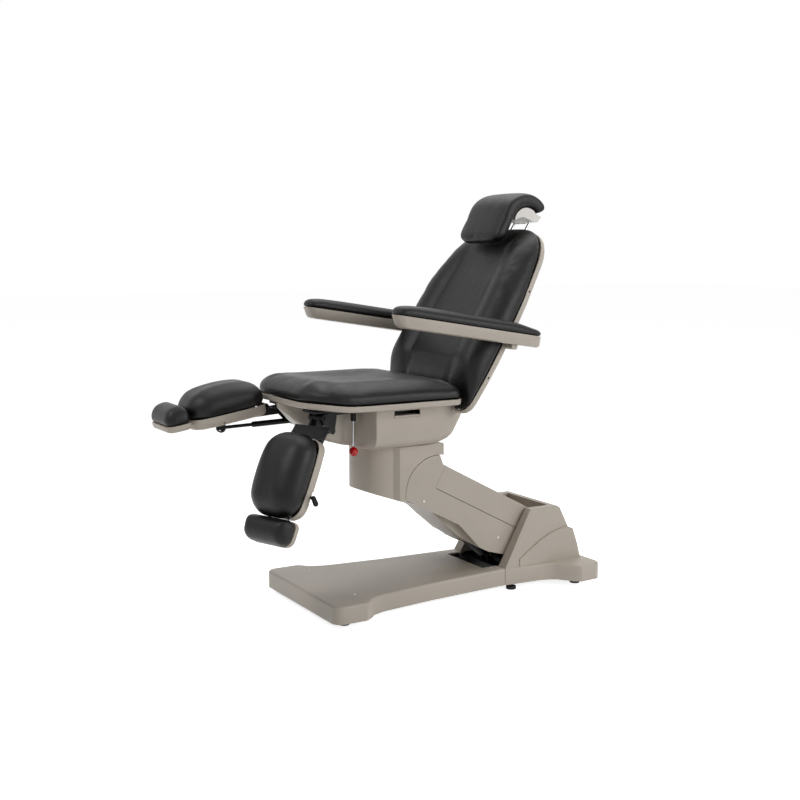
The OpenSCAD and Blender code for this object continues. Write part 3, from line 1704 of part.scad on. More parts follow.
module foot_shell(side) {
  low = leg_rim - foot_shell_h;
  color(shell_grey)
    on_leg(side)
      difference() {
        skin([
          lifted(foot_outline(foot_shell_h * 0.4), low),
          lifted(foot_outline(foot_shell_h * 0.14), low + foot_shell_h * 0.14),
          lifted(foot_outline(0), low + foot_shell_h * 0.4),
          lifted(foot_outline(0), leg_rim)
        ]);
        for (s = [-1, 1])
          translate([s * foot_rod_x, 0, foot_rod_n])
            along_y(foot_rod_dia + 2 * fit, leg_end, leg_end + foot_gap + foot_rod_dia * 1.1);
      }
}

foot_pad_shares = [
  [0.10, 0.00], [0.02, 0.12], [0.0, 0.32], [0.08, 0.56], [0.24, 0.78], [0.46, 0.93], [0.7, 1.0]
];

module foot_cushion(side) {
  color(leather_black)
    on_leg(side)
      skin([
        for (row = foot_pad_shares)
        lifted(
          foot_outline(row[0] * foot_len / 2 + over / 2),
          leg_rim + rest_gap + row[1] * leg_pad_h * 0.72
        )
      ]);
}

// The lever's rod lies across the leg; its grip leans towards the foot
module lock_lever(side) {
  out = -side;
  reach = 24;
  grip = 18;
  color(frame_black)
    on_leg(side)
      union() {
        bar_x(out * leg_w * 0.44, lever_d, lever_n, lever_dia, leg_w * 0.24);
        translate([out * leg_w * 0.55, lever_d, lever_n])
          rotate([-90, 0, -out * 45])
            union() {
              sphere(d = grip * 0.9);
              cylinder(d1 = grip * 0.9, d2 = grip, h = reach);
              translate([0, 0, reach])
                sphere(d = grip);
            }
      }
}
module left_swing_bracket() swing_bracket(1);
module left_release_knob() release_knob(1);
module left_leg_frame() leg_frame(1);
module left_leg_shell() leg_shell(1);
module left_leg_cushion() leg_cushion(1);
module left_strut_sleeve() strut_sleeve(1);
module left_strut_rod() strut_rod(1);
module left_foot_rails() foot_rails(1);
module left_foot_shell() foot_shell(1);
module left_foot_cushion() foot_cushion(1);
module left_lock_lever() lock_lever(1);
module right_swing_bracket() swing_bracket(-1);
module right_release_knob() release_knob(-1);
module right_leg_frame() leg_frame(-1);
module right_leg_shell() leg_shell(-1);
module right_leg_cushion() leg_cushion(-1);
module right_strut_sleeve() strut_sleeve(-1);
module right_strut_rod() strut_rod(-1);
module right_foot_rails() foot_rails(-1);
module right_foot_shell() foot_shell(-1);
module right_foot_cushion() foot_cushion(-1);
module right_lock_lever() lock_lever(-1);

chassis_frame();
front_cover();
rear_cover();
levelling_feet();
cover_screws();
lift_pivot_pins();
arm_weldment();
arm_cover_upper();
arm_cover_lower();
arm_screws();
parallel_link();
lift_motor();
lift_motor_rod();
head_frame();
column_cover();
head_pins();
seat_frame();
underseat_housing();
seat_shell();
seat_cushion();
leg_mount_plates();
back_hinge_pins();
side_buttons();
swivel_paddle();
back_frame();
back_shell();
back_cushion();
armrest_pins();
back_motor();
back_motor_rod();
headrest_rods();
headrest_plate();
headrest_cushion();
left_armrest_shell();
left_armrest_pad();
right_armrest_shell();
right_armrest_pad();
left_swing_bracket();
left_release_knob();
left_leg_frame();
left_leg_shell();
left_leg_cushion();
left_strut_sleeve();
left_strut_rod();
left_foot_rails();
left_foot_shell();
left_foot_cushion();
left_lock_lever();
right_swing_bracket();
right_release_knob();
right_leg_frame();
right_leg_shell();
right_leg_cushion();
right_strut_sleeve();
right_strut_rod();
right_foot_rails();
right_foot_shell();
right_foot_cushion();
right_lock_lever();
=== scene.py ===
"""Podiatry chair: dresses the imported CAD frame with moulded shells, stuffed cushions, hardware and a studio.

Lengths are metres in the row frame: the origin is the middle of the base's footprint on the floor, +Z is up,
the patient faces -Y and the patient's left is +X.
"""

import json
import math

import bmesh
import bpy
import numpy as np
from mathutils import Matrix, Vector


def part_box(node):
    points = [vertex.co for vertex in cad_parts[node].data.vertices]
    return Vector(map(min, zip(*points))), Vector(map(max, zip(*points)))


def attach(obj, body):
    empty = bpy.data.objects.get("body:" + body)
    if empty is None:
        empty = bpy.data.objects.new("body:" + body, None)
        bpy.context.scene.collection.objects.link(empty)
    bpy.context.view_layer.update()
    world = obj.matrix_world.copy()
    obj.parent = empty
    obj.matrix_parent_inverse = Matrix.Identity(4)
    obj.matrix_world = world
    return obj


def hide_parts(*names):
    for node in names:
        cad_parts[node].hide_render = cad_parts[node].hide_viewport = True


bl_info = {
    "name": "Podiatry Chair",
    "version": (1, 0, 0),
    "blender": (4, 5, 0),
    "location": "View3D > Sidebar > Chair",
    "description": "Dresses the podiatry chair's CAD frame with shells, cushions, hardware and a studio",
    "category": "Object",
}

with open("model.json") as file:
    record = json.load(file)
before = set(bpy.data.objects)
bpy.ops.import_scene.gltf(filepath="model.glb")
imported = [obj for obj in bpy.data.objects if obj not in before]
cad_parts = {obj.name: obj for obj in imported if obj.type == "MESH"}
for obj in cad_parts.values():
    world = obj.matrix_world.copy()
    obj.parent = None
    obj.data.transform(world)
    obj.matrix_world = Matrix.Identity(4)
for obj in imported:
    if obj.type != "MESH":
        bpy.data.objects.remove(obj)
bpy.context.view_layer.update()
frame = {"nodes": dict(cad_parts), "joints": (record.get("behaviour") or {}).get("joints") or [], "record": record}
JOINTS = {joint["name"]: joint for joint in frame["joints"]}
BODY_OF = {node: body for body, nodes in frame["record"]["behaviour"]["bodies"].items() for node in nodes}

# Sizes that the CAD part has too, in metres and degrees
BACK_ANGLE = 57.6
ARMREST_SLOPE = 9.0
SIDES = {"left": 1, "right": -1}
LEG_SWING = {"left": 20.0, "right": 0.0}
LEG_DROP = {"left": 64.0, "right": 9.0}
SEAT_FRONT, SEAT_REAR, SEAT_HALF = -0.640, -0.060, 0.280
SEAT_RIM = 0.752
BACK_LEN, BACK_HALF = 0.716, 0.283
HEAD_R, HEAD_T, HEAD_HALF, HEAD_BEND = 0.104, 0.050, 0.130, 95
ARMREST_TAIL, ARMREST_LEN, ARMREST_HALF, ARMREST_TOP = -0.103, 0.596, 0.037, 0.046
LEG_START, LEG_END, LEG_HALF, LEG_RIM = 0.084, 0.358, 0.095, 0.046
FOOT_START, FOOT_LEN = 0.364, 0.086

# Gap under a cushion, and the seat level of one that rests on nothing
SEAT_GAP, NO_SEAT = 0.0003, -1.0

# Edge radii of the small pieces, in metres
SCREW_EDGE, BUTTON_EDGE, PLATE_EDGE = 0.0004, 0.001, 0.002

# Heights of the cushions over their trays, and the headrest's corner radius, in metres
SEAT_PAD, BACK_PAD, ARM_PAD, FOOT_PAD = 0.068, 0.096, 0.036, 0.062
LEG_PAD, LEG_DOME = 0.077, 0.019
HEAD_CORNER = 0.042
# Middle of the headrest's curve, up the back and out from it
HEAD_UP, HEAD_OUT = BACK_LEN * 1.02, HEAD_R * 0.44

# Edges turned by more than this are crisp, and get an edge radius
CREASE = math.radians(28)

# Joining a CAD node's loose triangles: corners this close are one, shorter edges go, flatter edges join their faces
WELD, SLIVER, FLAT = 2e-5, 1e-5, math.radians(0.5)

# The release ball, its rod and the rod's sleeve, in metres
BALL_R, ROD_R, SLEEVE_R, SLEEVE_LEN = 0.016, 0.0025, 0.0045, 0.039

# The studio: name, place, point it faces, size in metres and power in watts of each softbox
LAMPS = (
    ("overhead", (-0.3, 0.5, 3.3), (0, 0, 0.6), 2.6, 50),
    ("front", (0.4, -3.0, 3.4), (0, -0.4, 0.3), 1.6, 48),
    ("side", (4.2, 2.2, 2.0), (0, 0.1, 0.5), 2.2, 95),
)
SKY, FLOOR_GLOW, FLOOR_HALF = 0.14, 0.86, 30
CAMERA_AT, CAMERA_AIM, LENS = (3.6074, -2.3081, 1.2607), (-0.0647, -0.11775, 0.7143), 52.65


# ---- Colour and numbers


def linear(hex_colour):
    """Turns an sRGB hex value into three linear numbers."""
    srgb = np.array([int(hex_colour[i : i + 2], 16) for i in (1, 3, 5)]) / 255
    return tuple(np.where(srgb <= 0.04045, srgb / 12.92, ((srgb + 0.055) / 1.055) ** 2.4).tolist())


def ease(t):
    """A soft step: 3t^2 - 2t^3, with t held between 0 and 1."""
    t = np.clip(t, 0, 1)
    return t * t * (3 - 2 * t)


def curve_through(table, at):
    """A smooth curve through rows of [place, value]: cubic pieces whose slopes never overshoot the rows."""
    xs, ys = np.array(table, float).T
    step = np.diff(xs)
    rise = np.diff(ys) / step
    slope = np.concatenate([rise[:1], (rise[:-1] + rise[1:]) / 2, rise[-1:]])
    turn = rise[:-1] * rise[1:]
    slope[1:-1] = np.where(turn > 0, 2 * turn / np.where(turn > 0, rise[:-1] + rise[1:], 1), 0)
    i = np.clip(np.searchsorted(xs, at) - 1, 0, len(step) - 1)
    u = np.clip((at - xs[i]) / step[i], 0, 1)
    return (
        ys[i] * (1 + 2 * u) * (1 - u) ** 2
        + step[i] * slope[i] * u * (1 - u) ** 2
        + ys[i + 1] * u**2 * (3 - 2 * u)
        - step[i] * slope[i + 1] * u**2 * (1 - u)
    )


def turn_about(axis, degrees):
    """A rotation matrix about X or Z."""
    c, s = math.cos(math.radians(degrees)), math.sin(math.radians(degrees))
    if axis == "X":
        return np.array([[1, 0, 0], [0, c, -s], [0, s, c]])
    return np.array([[c, -s, 0], [s, c, 0], [0, 0, 1]])


def on_back(points):
    """From the back's frame, with its origin at the hinge and Y up the back, to the row frame."""
    return points @ turn_about("X", BACK_ANGLE).T + np.array(JOINTS["back_hinge"]["pos_m"])


def on_armrest(side):
    """The placing of an armrest's frame: origin at its pivot, Y towards its front."""
    turned = turn_about("Z", 180) @ turn_about("X", ARMREST_SLOPE)
    return lambda points: points @ turned.T + np.array(JOINTS[side + "_armrest_hinge"]["pos_m"])


def on_leg(side):
    """The placing of a leg's frame: origin at its tilt hinge, Y along the leg."""
    turned = turn_about("Z", 180 + SIDES[side] * LEG_SWING[side]) @ turn_about("X", -LEG_DROP[side])
    return lambda points: points @ turned.T + np.array(JOINTS[side + "_leg_hinge"]["pos_m"])


# ---- Meshes


def mesh_from(name, points, faces):
    """An object from a list of points and a list of faces, smooth shaded."""
    mesh = bpy.data.meshes.new(name)
    mesh.from_pydata(points.tolist(), [], faces)
    mesh.polygons.foreach_set("use_smooth", np.ones(len(mesh.polygons), bool))
    mesh.update()
    thing = bpy.data.objects.new(name, mesh)
    bpy.context.scene.collection.objects.link(thing)
    return thing


def grid_faces(rows, columns):
    """Quads between neighbouring rings of a grid whose rings are closed."""
    r, c = np.meshgrid(np.arange(rows - 1), np.arange(columns), indexing="ij")
    after = (c + 1) % columns
    quads = np.stack([r * columns + c, r * columns + after, (r + 1) * columns + after, (r + 1) * columns + c], -1)
    return quads.reshape(-1, 4).tolist()


def lofted(name, rings):
    """A closed solid through rings of equal counts, with one face at each end."""
    rows, columns, _ = rings.shape
    ends = [list(range(columns))[::-1], list(range((rows - 1) * columns, rows * columns))]
    return facing_out(mesh_from(name, rings.reshape(-1, 3), grid_faces(rows, columns) + ends))


def turned_piece(name, profile, centre, axis, steps=40):
    """A profile of [radius, height] carried round an axis: point = centre + radius (cos u, sin u) + height axis."""
    along = np.array(axis, float) / np.linalg.norm(axis)
    aside = np.cross(along, [0, 0, 1] if abs(along[2]) < 0.9 else [0, 1, 0])
    aside /= np.linalg.norm(aside)
    other = np.cross(along, aside)
    u = np.linspace(0, 2 * math.pi, steps, endpoint=False)
    round_it = np.cos(u)[:, None] * aside + np.sin(u)[:, None] * other
    radius, height = np.array(profile, float).T
    rings = np.array(centre) + radius[:, None, None] * round_it + height[:, None, None] * along
    return lofted(name, rings)


def facing_out(thing):
    """Turns all faces outwards."""
    bm = bmesh.new()
    bm.from_mesh(thing.data)
    bmesh.ops.recalc_face_normals(bm, faces=bm.faces)
    bm.to_mesh(thing.data)
    bm.free()
    return thing


def creased(thing, angle=CREASE):
    """Keeps the edges sharper than an angle crisp under smooth shading."""
    bm = bmesh.new()
    bm.from_mesh(thing.data)
    for edge in bm.edges:
        edge.smooth = edge.calc_face_angle(0) < angle
    bm.to_mesh(thing.data)
    bm.free()
    return thing


def rounded(thing, width, segments=3):
    """A bevel along the creases, with flat faces kept flat."""
    bevel = thing.modifiers.new("edge_radius", "BEVEL")
    bevel.width = width
    bevel.segments = segments
    bevel.limit_method = "ANGLE"
    bevel.angle_limit = CREASE
    bevel.use_clamp_overlap = True
    bevel.harden_normals = True
    return thing


def merged_copy(node):
    """A copy of a CAD node with its loose triangles merged and its flat faces joined."""
    mesh = bpy.data.meshes.new(node)
    bm = bmesh.new()
    bm.from_mesh(frame["nodes"][node].data)
    bmesh.ops.remove_doubles(bm, verts=bm.verts, dist=WELD)
    bmesh.ops.dissolve_degenerate(bm, dist=SLIVER, edges=bm.edges)
    bmesh.ops.dissolve_limit(bm, angle_limit=FLAT, verts=bm.verts, edges=bm.edges)
    for face in bm.faces:
        face.smooth = True
    for edge in bm.edges:
        edge.smooth = edge.calc_face_angle(0) < CREASE
    bm.to_mesh(mesh)
    bm.free()
    if "custom_normal" in mesh.attributes:
        mesh.attributes.remove(mesh.attributes["custom_normal"])
    thing = bpy.data.objects.new(node + "_finished", mesh)
    bpy.context.scene.collection.objects.link(thing)
    return thing


def finish(thing, material, body, nodes=()):
    """Gives a piece its material and its CAD body, and hides the CAD nodes that it stands for."""
    thing.data.materials.clear()
    thing.data.materials.append(bpy.data.materials[material])
    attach(thing, body)
    if nodes:
        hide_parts(*nodes)
    return thing


def dress(node, material, width=0.0008, segments=2):
    """Replaces a CAD node by its merged copy with rounded edges."""
    thing = merged_copy(node)
    if width > 0:
        rounded(thing, width, segments)
    return finish(thing, material, BODY_OF[node], [node])


# ---- Materials


def add(tree, kind, settings=None, **links):
    """Adds a node, sets its properties and inputs, and links other nodes' outputs into it."""
    made = tree.nodes.new(kind)
    for name, value in (settings or {}).items():
        if name in made.inputs:
            made.inputs[name].default_value = value
        else:
            setattr(made, name, value)
    for name, source in links.items():
        socket = made.inputs[int(name[1:])] if name[1:].isdigit() else made.inputs[name.replace("_", " ")]
        tree.links.new(source, socket)
    return made


def new_material(name, **sockets):
    """An empty material with a Principled shader whose own sockets hold the values that are the same everywhere."""
    material = bpy.data.materials.new(name)
    material.use_nodes = True
    tree = material.node_tree
    shader = tree.nodes["Principled BSDF"]
    for socket, value in sockets.items():
        shader.inputs[socket.replace("_", " ")].default_value = value
    place = add(tree, "ShaderNodeTexCoord")
    return tree, shader, place.outputs["Object"]


def tinted(tree, shader, colour, fac, low=0.9, high=1.08):
    """Lets the base colour wander between a darker and a lighter shade of itself."""
    ramp = add(tree, "ShaderNodeValToRGB", _0=fac)
    ramp.color_ramp.elements[0].position = 0.3
    ramp.color_ramp.elements[1].position = 0.7
    ramp.color_ramp.elements[0].color = [c * low for c in colour] + [1]
    ramp.color_ramp.elements[1].color = [min(1, c * high) for c in colour] + [1]
    tree.links.new(ramp.outputs["Color"], shader.inputs["Base Color"])


def ranged(tree, socket, fac, low, high):
    """Drives a socket by a pattern between two values."""
    span = add(tree, "ShaderNodeMapRange", {"To Min": low, "To Max": high}, Value=fac)
    tree.links.new(span.outputs["Result"], socket)


def noise(tree, place, size, detail=3.0):
    """A noise pattern whose grains are about a size in metres across."""
    return add(tree, "ShaderNodeTexNoise", {"Scale": 1 / size, "Detail": detail}, Vector=place).outputs["Fac"]


def bumped(tree, shader, heights):
    """Stacks height patterns of (pattern, depth in metres, strength) into one normal."""
    last = None
    for pattern, depth, strength in heights:
        bump = add(tree, "ShaderNodeBump", {"Distance": depth, "Strength": strength}, Height=pattern)
        if last is not None:
            tree.links.new(last, bump.inputs["Normal"])
        last = bump.outputs["Normal"]
    tree.links.new(last, shader.inputs["Normal"])


def moulded_abs(name, colour, roughness=0.42, grain=0.0011):
    """ABS, injection moulded in a spark-eroded tool: a satin skin with a fine even grain that softens highlights."""
    tree, shader, place = new_material(name, IOR=1.53, Roughness=roughness)
    tinted(tree, shader, colour, noise(tree, place, 0.16, 2), 0.965, 1.03)
    ranged(tree, shader.inputs["Roughness"], noise(tree, place, 0.05, 4), roughness - 0.05, roughness + 0.06)
    # The real grain is about 0.2 mm across, too fine to show, and is drawn five times coarser
    bumped(tree, shader, [(noise(tree, place, grain, 2), 0.00012, 0.35), (noise(tree, place, 0.09, 2), 0.002, 0.12)])


def pu_leather(name, colour):
    """PU-coated fabric, embossed with a leather grain: dark with a broad soft sheen that breaks up in the grain."""
    tree, shader, place = new_material(name, IOR=1.5, Specular_IOR_Level=0.24)
    tinted(tree, shader, colour, noise(tree, place, 0.07, 4), 0.86, 1.16)
    # The embossed cells are about 1.2 mm across, and are drawn at 2.6 mm so that they show
    cells = add(tree, "ShaderNodeTexVoronoi", {"Scale": 1 / 0.0026, "feature": "DISTANCE_TO_EDGE"}, Vector=place)
    valleys = add(tree, "ShaderNodeMapRange", {"From Max": 0.28}, Value=cells.outputs["Distance"]).outputs["Result"]
    ranged(tree, shader.inputs["Roughness"], noise(tree, place, 0.035, 5), 0.31, 0.44)
    bumped(
        tree,
        shader,
        [
            (noise(tree, place, 0.055, 3), 0.006, 0.22),
            (noise(tree, place, 0.012, 4), 0.001, 0.3),
            (valleys, 0.00025, 0.5),
        ],
    )


def powder_coat(name, colour, roughness=0.48):
    """Steel with a baked powder coat: even, slightly orange-peeled, with rounded highlights."""
    tree, shader, place = new_material(name, IOR=1.5, Roughness=roughness, Specular_IOR_Level=0.22)
    tinted(tree, shader, colour, noise(tree, place, 0.03, 3), 0.9, 1.12)
    ranged(tree, shader.inputs["Roughness"], noise(tree, place, 0.012, 3), roughness - 0.06, roughness + 0.08)
    bumped(tree, shader, [(noise(tree, place, 0.0016, 2), 0.00015, 0.5)])


def bare_metal(name, colour, roughness, streak):
    """Plated or polished steel: mirror-like, with fine streaks left by turning and drawing."""
    tree, shader, place = new_material(name, Metallic=1.0, Roughness=roughness)
    tinted(tree, shader, colour, noise(tree, place, 0.02, 3), 0.93, 1.05)
    drawn = add(tree, "ShaderNodeMapping", {"Scale": (1, 1, 0.08)}, Vector=place).outputs["Vector"]
    fine = noise(tree, drawn, streak, 3)
    ranged(tree, shader.inputs["Roughness"], fine, roughness * 0.75, roughness * 1.3)
    bumped(tree, shader, [(fine, 0.00005, 0.3)])


def moulded_rubber(name, colour):
    """Vulcanised rubber: nearly black, dull, dusty in its pores."""
    tree, shader, place = new_material(name, IOR=1.52, Roughness=0.8)
    tinted(tree, shader, colour, noise(tree, place, 0.008, 4), 0.8, 1.3)
    bumped(tree, shader, [(noise(tree, place, 0.0012, 3), 0.0002, 0.6)])


def phenolic_resin(name, colour):
    """Phenolic resin, tumbled to a gloss: saturated, with a sharp highlight under a clear skin."""
    tree, shader, place = new_material(
        name, IOR=1.5, Roughness=0.2, Specular_IOR_Level=0.3, Coat_Weight=0.15, Coat_Roughness=0.08
    )
    tinted(tree, shader, colour, noise(tree, place, 0.01, 2), 0.94, 1.06)
    ranged(tree, shader.inputs["Roughness"], noise(tree, place, 0.006, 3), 0.12, 0.22)


def make_materials(colours):
    """One material for each finish of the chair."""
    moulded_abs("shell_abs", colours.shell)
    moulded_abs("plate_abs", colours.plate, 0.36)
    pu_leather("black_pu_leather", colours.leather)
    powder_coat("black_powder_coat", colours.frame_paint)
    powder_coat("grey_powder_coat", colours.steel_paint, 0.42)
    bare_metal("zinc_plated_steel", colours.zinc, 0.34, 0.0008)
    bare_metal("polished_steel", colours.chrome, 0.14, 0.0006)
    moulded_rubber("foot_rubber", colours.rubber)
    phenolic_resin("red_phenolic", colours.ball)
    moulded_abs("button_abs", colours.button, 0.4)


# ---- Cushions


def board(y0, y1, r0, r1, half, inset, corner=12, side=26):
    """Outline of a board with rounded corners and curved sides, as closed rings of X and Y.

    The right side goes from y0 to y1: x = half width at y - inset - what the corner's quarter circle cuts off.
    The left side mirrors it. inset may be an array, and then there is one ring for each of its values.
    """
    inset = np.atleast_1d(np.asarray(inset, float))[:, None]
    a0, a1 = np.maximum(r0 - inset, r0 / 4), np.maximum(r1 - inset, r1 / 4)
    low, high = y0 + inset, y1 - inset
    q = np.radians(np.linspace(0, 90, corner + 1))
    t = np.linspace(0, 1, side + 1)[1:-1]
    y = np.concatenate(
        [
            low + a0 * (1 - np.cos(q)),
            (low + a0) + (high - a1 - low - a0) * t,
            (high - a1 * (1 - np.cos(q)))[:, ::-1],
        ],
        1,
    )
    cut = np.concatenate([a0 * (1 - np.sin(q)), 0 * a0 * t, (a1 * (1 - np.sin(q)))[:, ::-1]], 1)
    x = curve_through(half, (y - y0) / (y1 - y0)) - inset - cut
    x = np.maximum(x, 0.0005)
    return np.stack([np.concatenate([x, -x[:, ::-1]], 1), np.concatenate([y, y[:, ::-1]], 1)], -1)


def sewn_rows(rows, count=46):
    """Reads rows of [inset share, height share] as one smooth line of many points."""
    rows = np.array(rows, float)
    run = np.concatenate([[0], np.cumsum(np.hypot(*np.diff(rows, axis=0).T))])
    at = np.linspace(0, run[-1], count)
    return np.stack([np.interp(at, run, rows[:, 0]), np.interp(at, run, rows[:, 1])], -1)


def applied(thing, modifier):
    """Applies one live modifier to a piece's mesh."""
    dg = bpy.context.evaluated_depsgraph_get()
    mesh = bpy.data.meshes.new_from_object(thing.evaluated_get(dg))
    thing.modifiers.remove(modifier)
    thing.data = mesh
    return thing


def points_of(mesh):
    """A mesh's points as one array."""
    flat = np.empty(len(mesh.vertices) * 3)
    mesh.vertices.foreach_get("co", flat)
    return flat.reshape(-1, 3)


def uncarved(points):
    """A cushion without channels stays as it is."""
    return points


def stuffed(form, place, node, seat_level, carve, voxel=0.006, give=0.012):
    """A cushion from a closed form in its own frame: remeshed, blown up as cloth that is held along its seat,
    kept to a small movement, carved with its channels, and then put in its place in the row frame."""
    sizes = bpy.context.scene.chair_sizes
    grid = form.modifiers.new("grid", "REMESH")
    grid.mode = "VOXEL"
    grid.voxel_size = voxel
    applied(form, grid)
    soften = form.modifiers.new("soften", "SMOOTH")
    soften.factor = 0.5
    soften.iterations = 6
    applied(form, soften)
    start = points_of(form.data)
    held = form.vertex_groups.new(name="held")
    held.add(np.flatnonzero(start[:, 2] < seat_level + voxel * 0.8).tolist(), 1.0, "REPLACE")
    cloth = form.modifiers.new("stuffing", "CLOTH")
    cloth.settings.quality = 4
    cloth.settings.mass = 0.35
    cloth.settings.tension_stiffness = 14
    cloth.settings.compression_stiffness = 14
    cloth.settings.shear_stiffness = 6
    cloth.settings.bending_stiffness = 6
    cloth.settings.use_pressure = True
    cloth.settings.uniform_pressure_force = sizes.cushion_pressure
    cloth.settings.vertex_group_mass = "held"
    cloth.settings.effector_weights.gravity = 0
    cloth.point_cache.frame_end = 20
    for step in range(1, 21):
        bpy.context.scene.frame_set(step)
    applied(form, cloth)
    moved = points_of(form.data) - start
    length = np.linalg.norm(moved, axis=1)
    start = start + moved * (np.minimum(length, give) / np.maximum(length, 1e-9))[:, None]
    form.data.vertices.foreach_set("co", start.ravel())
    stretch = form.modifiers.new("stretched_cover", "SMOOTH")
    stretch.factor = 0.5
    stretch.iterations = 10
    applied(form, stretch)
    start = points_of(form.data)
    bpy.context.scene.frame_set(1)
    start[:, 2] = np.maximum(start[:, 2], seat_level)
    placed = place(carve(start))
    form.data.vertices.foreach_set("co", placed.ravel())
    form.data.polygons.foreach_set("use_smooth", np.ones(len(form.data.polygons), bool))
    form.data.update()
    facing_out(form)
    round_up = form.modifiers.new("softness", "SUBSURF")
    round_up.levels = round_up.render_levels = 1
    finish(form, "black_pu_leather", BODY_OF[node], [node])
    return form


def pad_form(name, outline, rows, unit, height, level):
    """A pad over an outline: each ring is drawn in by its inset share and lifted by its height share.

    outline(insets) gives the rings in X and Y, and height(x, y, share) is the lift of a point."""
    rows = sewn_rows(rows)
    flat = outline(rows[:, 0] * unit)
    lift = height(flat[..., 0], flat[..., 1], rows[:, 1][:, None])
    rings = np.concatenate([flat, (level + lift)[..., None]], -1)
    under = rings[:1].copy()
    under[..., 2] = level
    return lofted_pad(name, np.concatenate([under, rings]))


def lofted_pad(name, rings):
    """Rings closed at the bottom by one face and at the top by quads from the right side to the left."""
    rows, columns, _ = rings.shape
    top = (rows - 1) * columns
    across = [[top + k, top + k + 1, top + columns - 2 - k, top + columns - 1 - k] for k in range(columns // 2 - 1)]
    faces = grid_faces(rows, columns) + [list(range(columns))[::-1]] + across
    return facing_out(mesh_from(name, rings.reshape(-1, 3), faces))


# ---- Operators


def colour_property(name, description, hex_colour):
    """A colour that a user may change."""
    start = linear(hex_colour)
    return bpy.props.FloatVectorProperty(
        name=name, description=description, subtype="COLOR", size=3, min=0, max=1, default=start
    )


def length_property(name, description, start, least, most):
    """A length that a user may change."""
    return bpy.props.FloatProperty(
        name=name, description=description, default=start, min=least, max=most, unit="LENGTH"
    )


class CHAIR_PG_colours(bpy.types.PropertyGroup):
    """The chair's colours."""

    shell: colour_property("Shells", "Moulded covers", "#B6ADA1")
    leather: colour_property("Leather", "Cushion cover", "#0F0E0E")
    frame_paint: colour_property("Frame", "Painted brackets and struts", "#0D0D0E")
    steel_paint: colour_property("Inner steel", "Weldments under the covers", "#85888B")
    zinc: colour_property("Zinc", "Bolts and pins", "#B4B4B0")
    chrome: colour_property("Polished steel", "Rods", "#B2B4B7")
    rubber: colour_property("Rubber", "Levelling feet", "#171718")
    ball: colour_property("Ball", "Release ball", "#C40A17")
    plate: colour_property("Headrest plate", "Plate behind the headrest", "#DEDAD4")
    button: colour_property("Buttons", "Buttons beside the seat", "#D2CFC8")
    floor: colour_property("Floor", "Studio floor", "#F4F4F4")


class CHAIR_PG_sizes(bpy.types.PropertyGroup):
    """The sizes that a user would change."""

    cover_edge: length_property("Cover edge", "Edge radius of the large covers", 0.0045, 0, 0.02)
    tray_edge: length_property("Tray edge", "Edge radius of the cushion trays", 0.0016, 0, 0.01)
    metal_edge: length_property("Metal edge", "Edge radius of brackets and plates", 0.0007, 0, 0.005)
    cushion_voxel: length_property("Cushion grid", "Grid size of the large cushions", 0.0065, 0.004, 0.02)
    cushion_pressure: bpy.props.FloatProperty(
        name="Cushion pressure", description="How hard the cushions are stuffed", default=4.0, min=0, max=20
    )


class ChairStep:
    """What all steps share."""

    bl_options = {"REGISTER"}

    @property
    def sizes(self):
        return bpy.context.scene.chair_sizes


class CHAIR_OT_materials(ChairStep, bpy.types.Operator):
    """Makes the chair's materials from the colours."""

    bl_idname = "chair.materials"
    bl_label = "Materials"

    def execute(self, context):
        make_materials(context.scene.chair_colours)
        return {"FINISHED"}


class CHAIR_OT_base(ChairStep, bpy.types.Operator):
    """Finishes the base's covers, feet, screws and chassis."""

    bl_idname = "chair.base"
    bl_label = "Base"

    def execute(self, context):
        dress("front_cover", "shell_abs", self.sizes.tray_edge)
        dress("rear_cover", "shell_abs", self.sizes.cover_edge * 1.7, 4)
        dress("chassis_frame", "black_powder_coat", self.sizes.metal_edge)
        dress("levelling_feet", "foot_rubber", self.sizes.metal_edge)
        dress("lift_pivot_pins", "zinc_plated_steel", self.sizes.metal_edge)
        dress("cover_screws", "zinc_plated_steel", SCREW_EDGE)
        return {"FINISHED"}


class CHAIR_OT_lift(ChairStep, bpy.types.Operator):
    """Finishes the lift arm, its link and its actuator."""

    bl_idname = "chair.lift"
    bl_label = "Lift arm"

    def execute(self, context):
        dress("arm_cover_upper", "shell_abs", self.sizes.cover_edge * 0.7)
        dress("arm_cover_lower", "shell_abs", self.sizes.cover_edge * 0.7)
        dress("arm_weldment", "grey_powder_coat", self.sizes.metal_edge)
        dress("arm_screws", "zinc_plated_steel", SCREW_EDGE)
        dress("parallel_link", "black_powder_coat", self.sizes.metal_edge)
        dress("lift_motor", "black_powder_coat", self.sizes.metal_edge)
        dress("lift_motor_rod", "polished_steel", self.sizes.metal_edge)
        return {"FINISHED"}


class CHAIR_OT_column(ChairStep, bpy.types.Operator):
    """Finishes the column head between the arm and the seat."""

    bl_idname = "chair.column"
    bl_label = "Column"

    def execute(self, context):
        dress("column_cover", "shell_abs", self.sizes.cover_edge * 0.6)
        dress("head_frame", "grey_powder_coat", self.sizes.metal_edge)
        dress("head_pins", "zinc_plated_steel", self.sizes.metal_edge)
        return {"FINISHED"}


class CHAIR_OT_seat(ChairStep, bpy.types.Operator):
    """Finishes the seat's shell, housing, paddle, buttons and frame."""

    bl_idname = "chair.seat"
    bl_label = "Seat"

    def execute(self, context):
        dress("seat_shell", "shell_abs", self.sizes.tray_edge)
        dress("underseat_housing", "shell_abs", self.sizes.tray_edge)
        dress("swivel_paddle", "shell_abs", self.sizes.metal_edge)
        dress("seat_frame", "black_powder_coat", self.sizes.metal_edge)
        dress("leg_mount_plates", "black_powder_coat", self.sizes.metal_edge)
        dress("back_hinge_pins", "zinc_plated_steel", self.sizes.metal_edge)
        dress("side_buttons", "button_abs", BUTTON_EDGE)
        return {"FINISHED"}


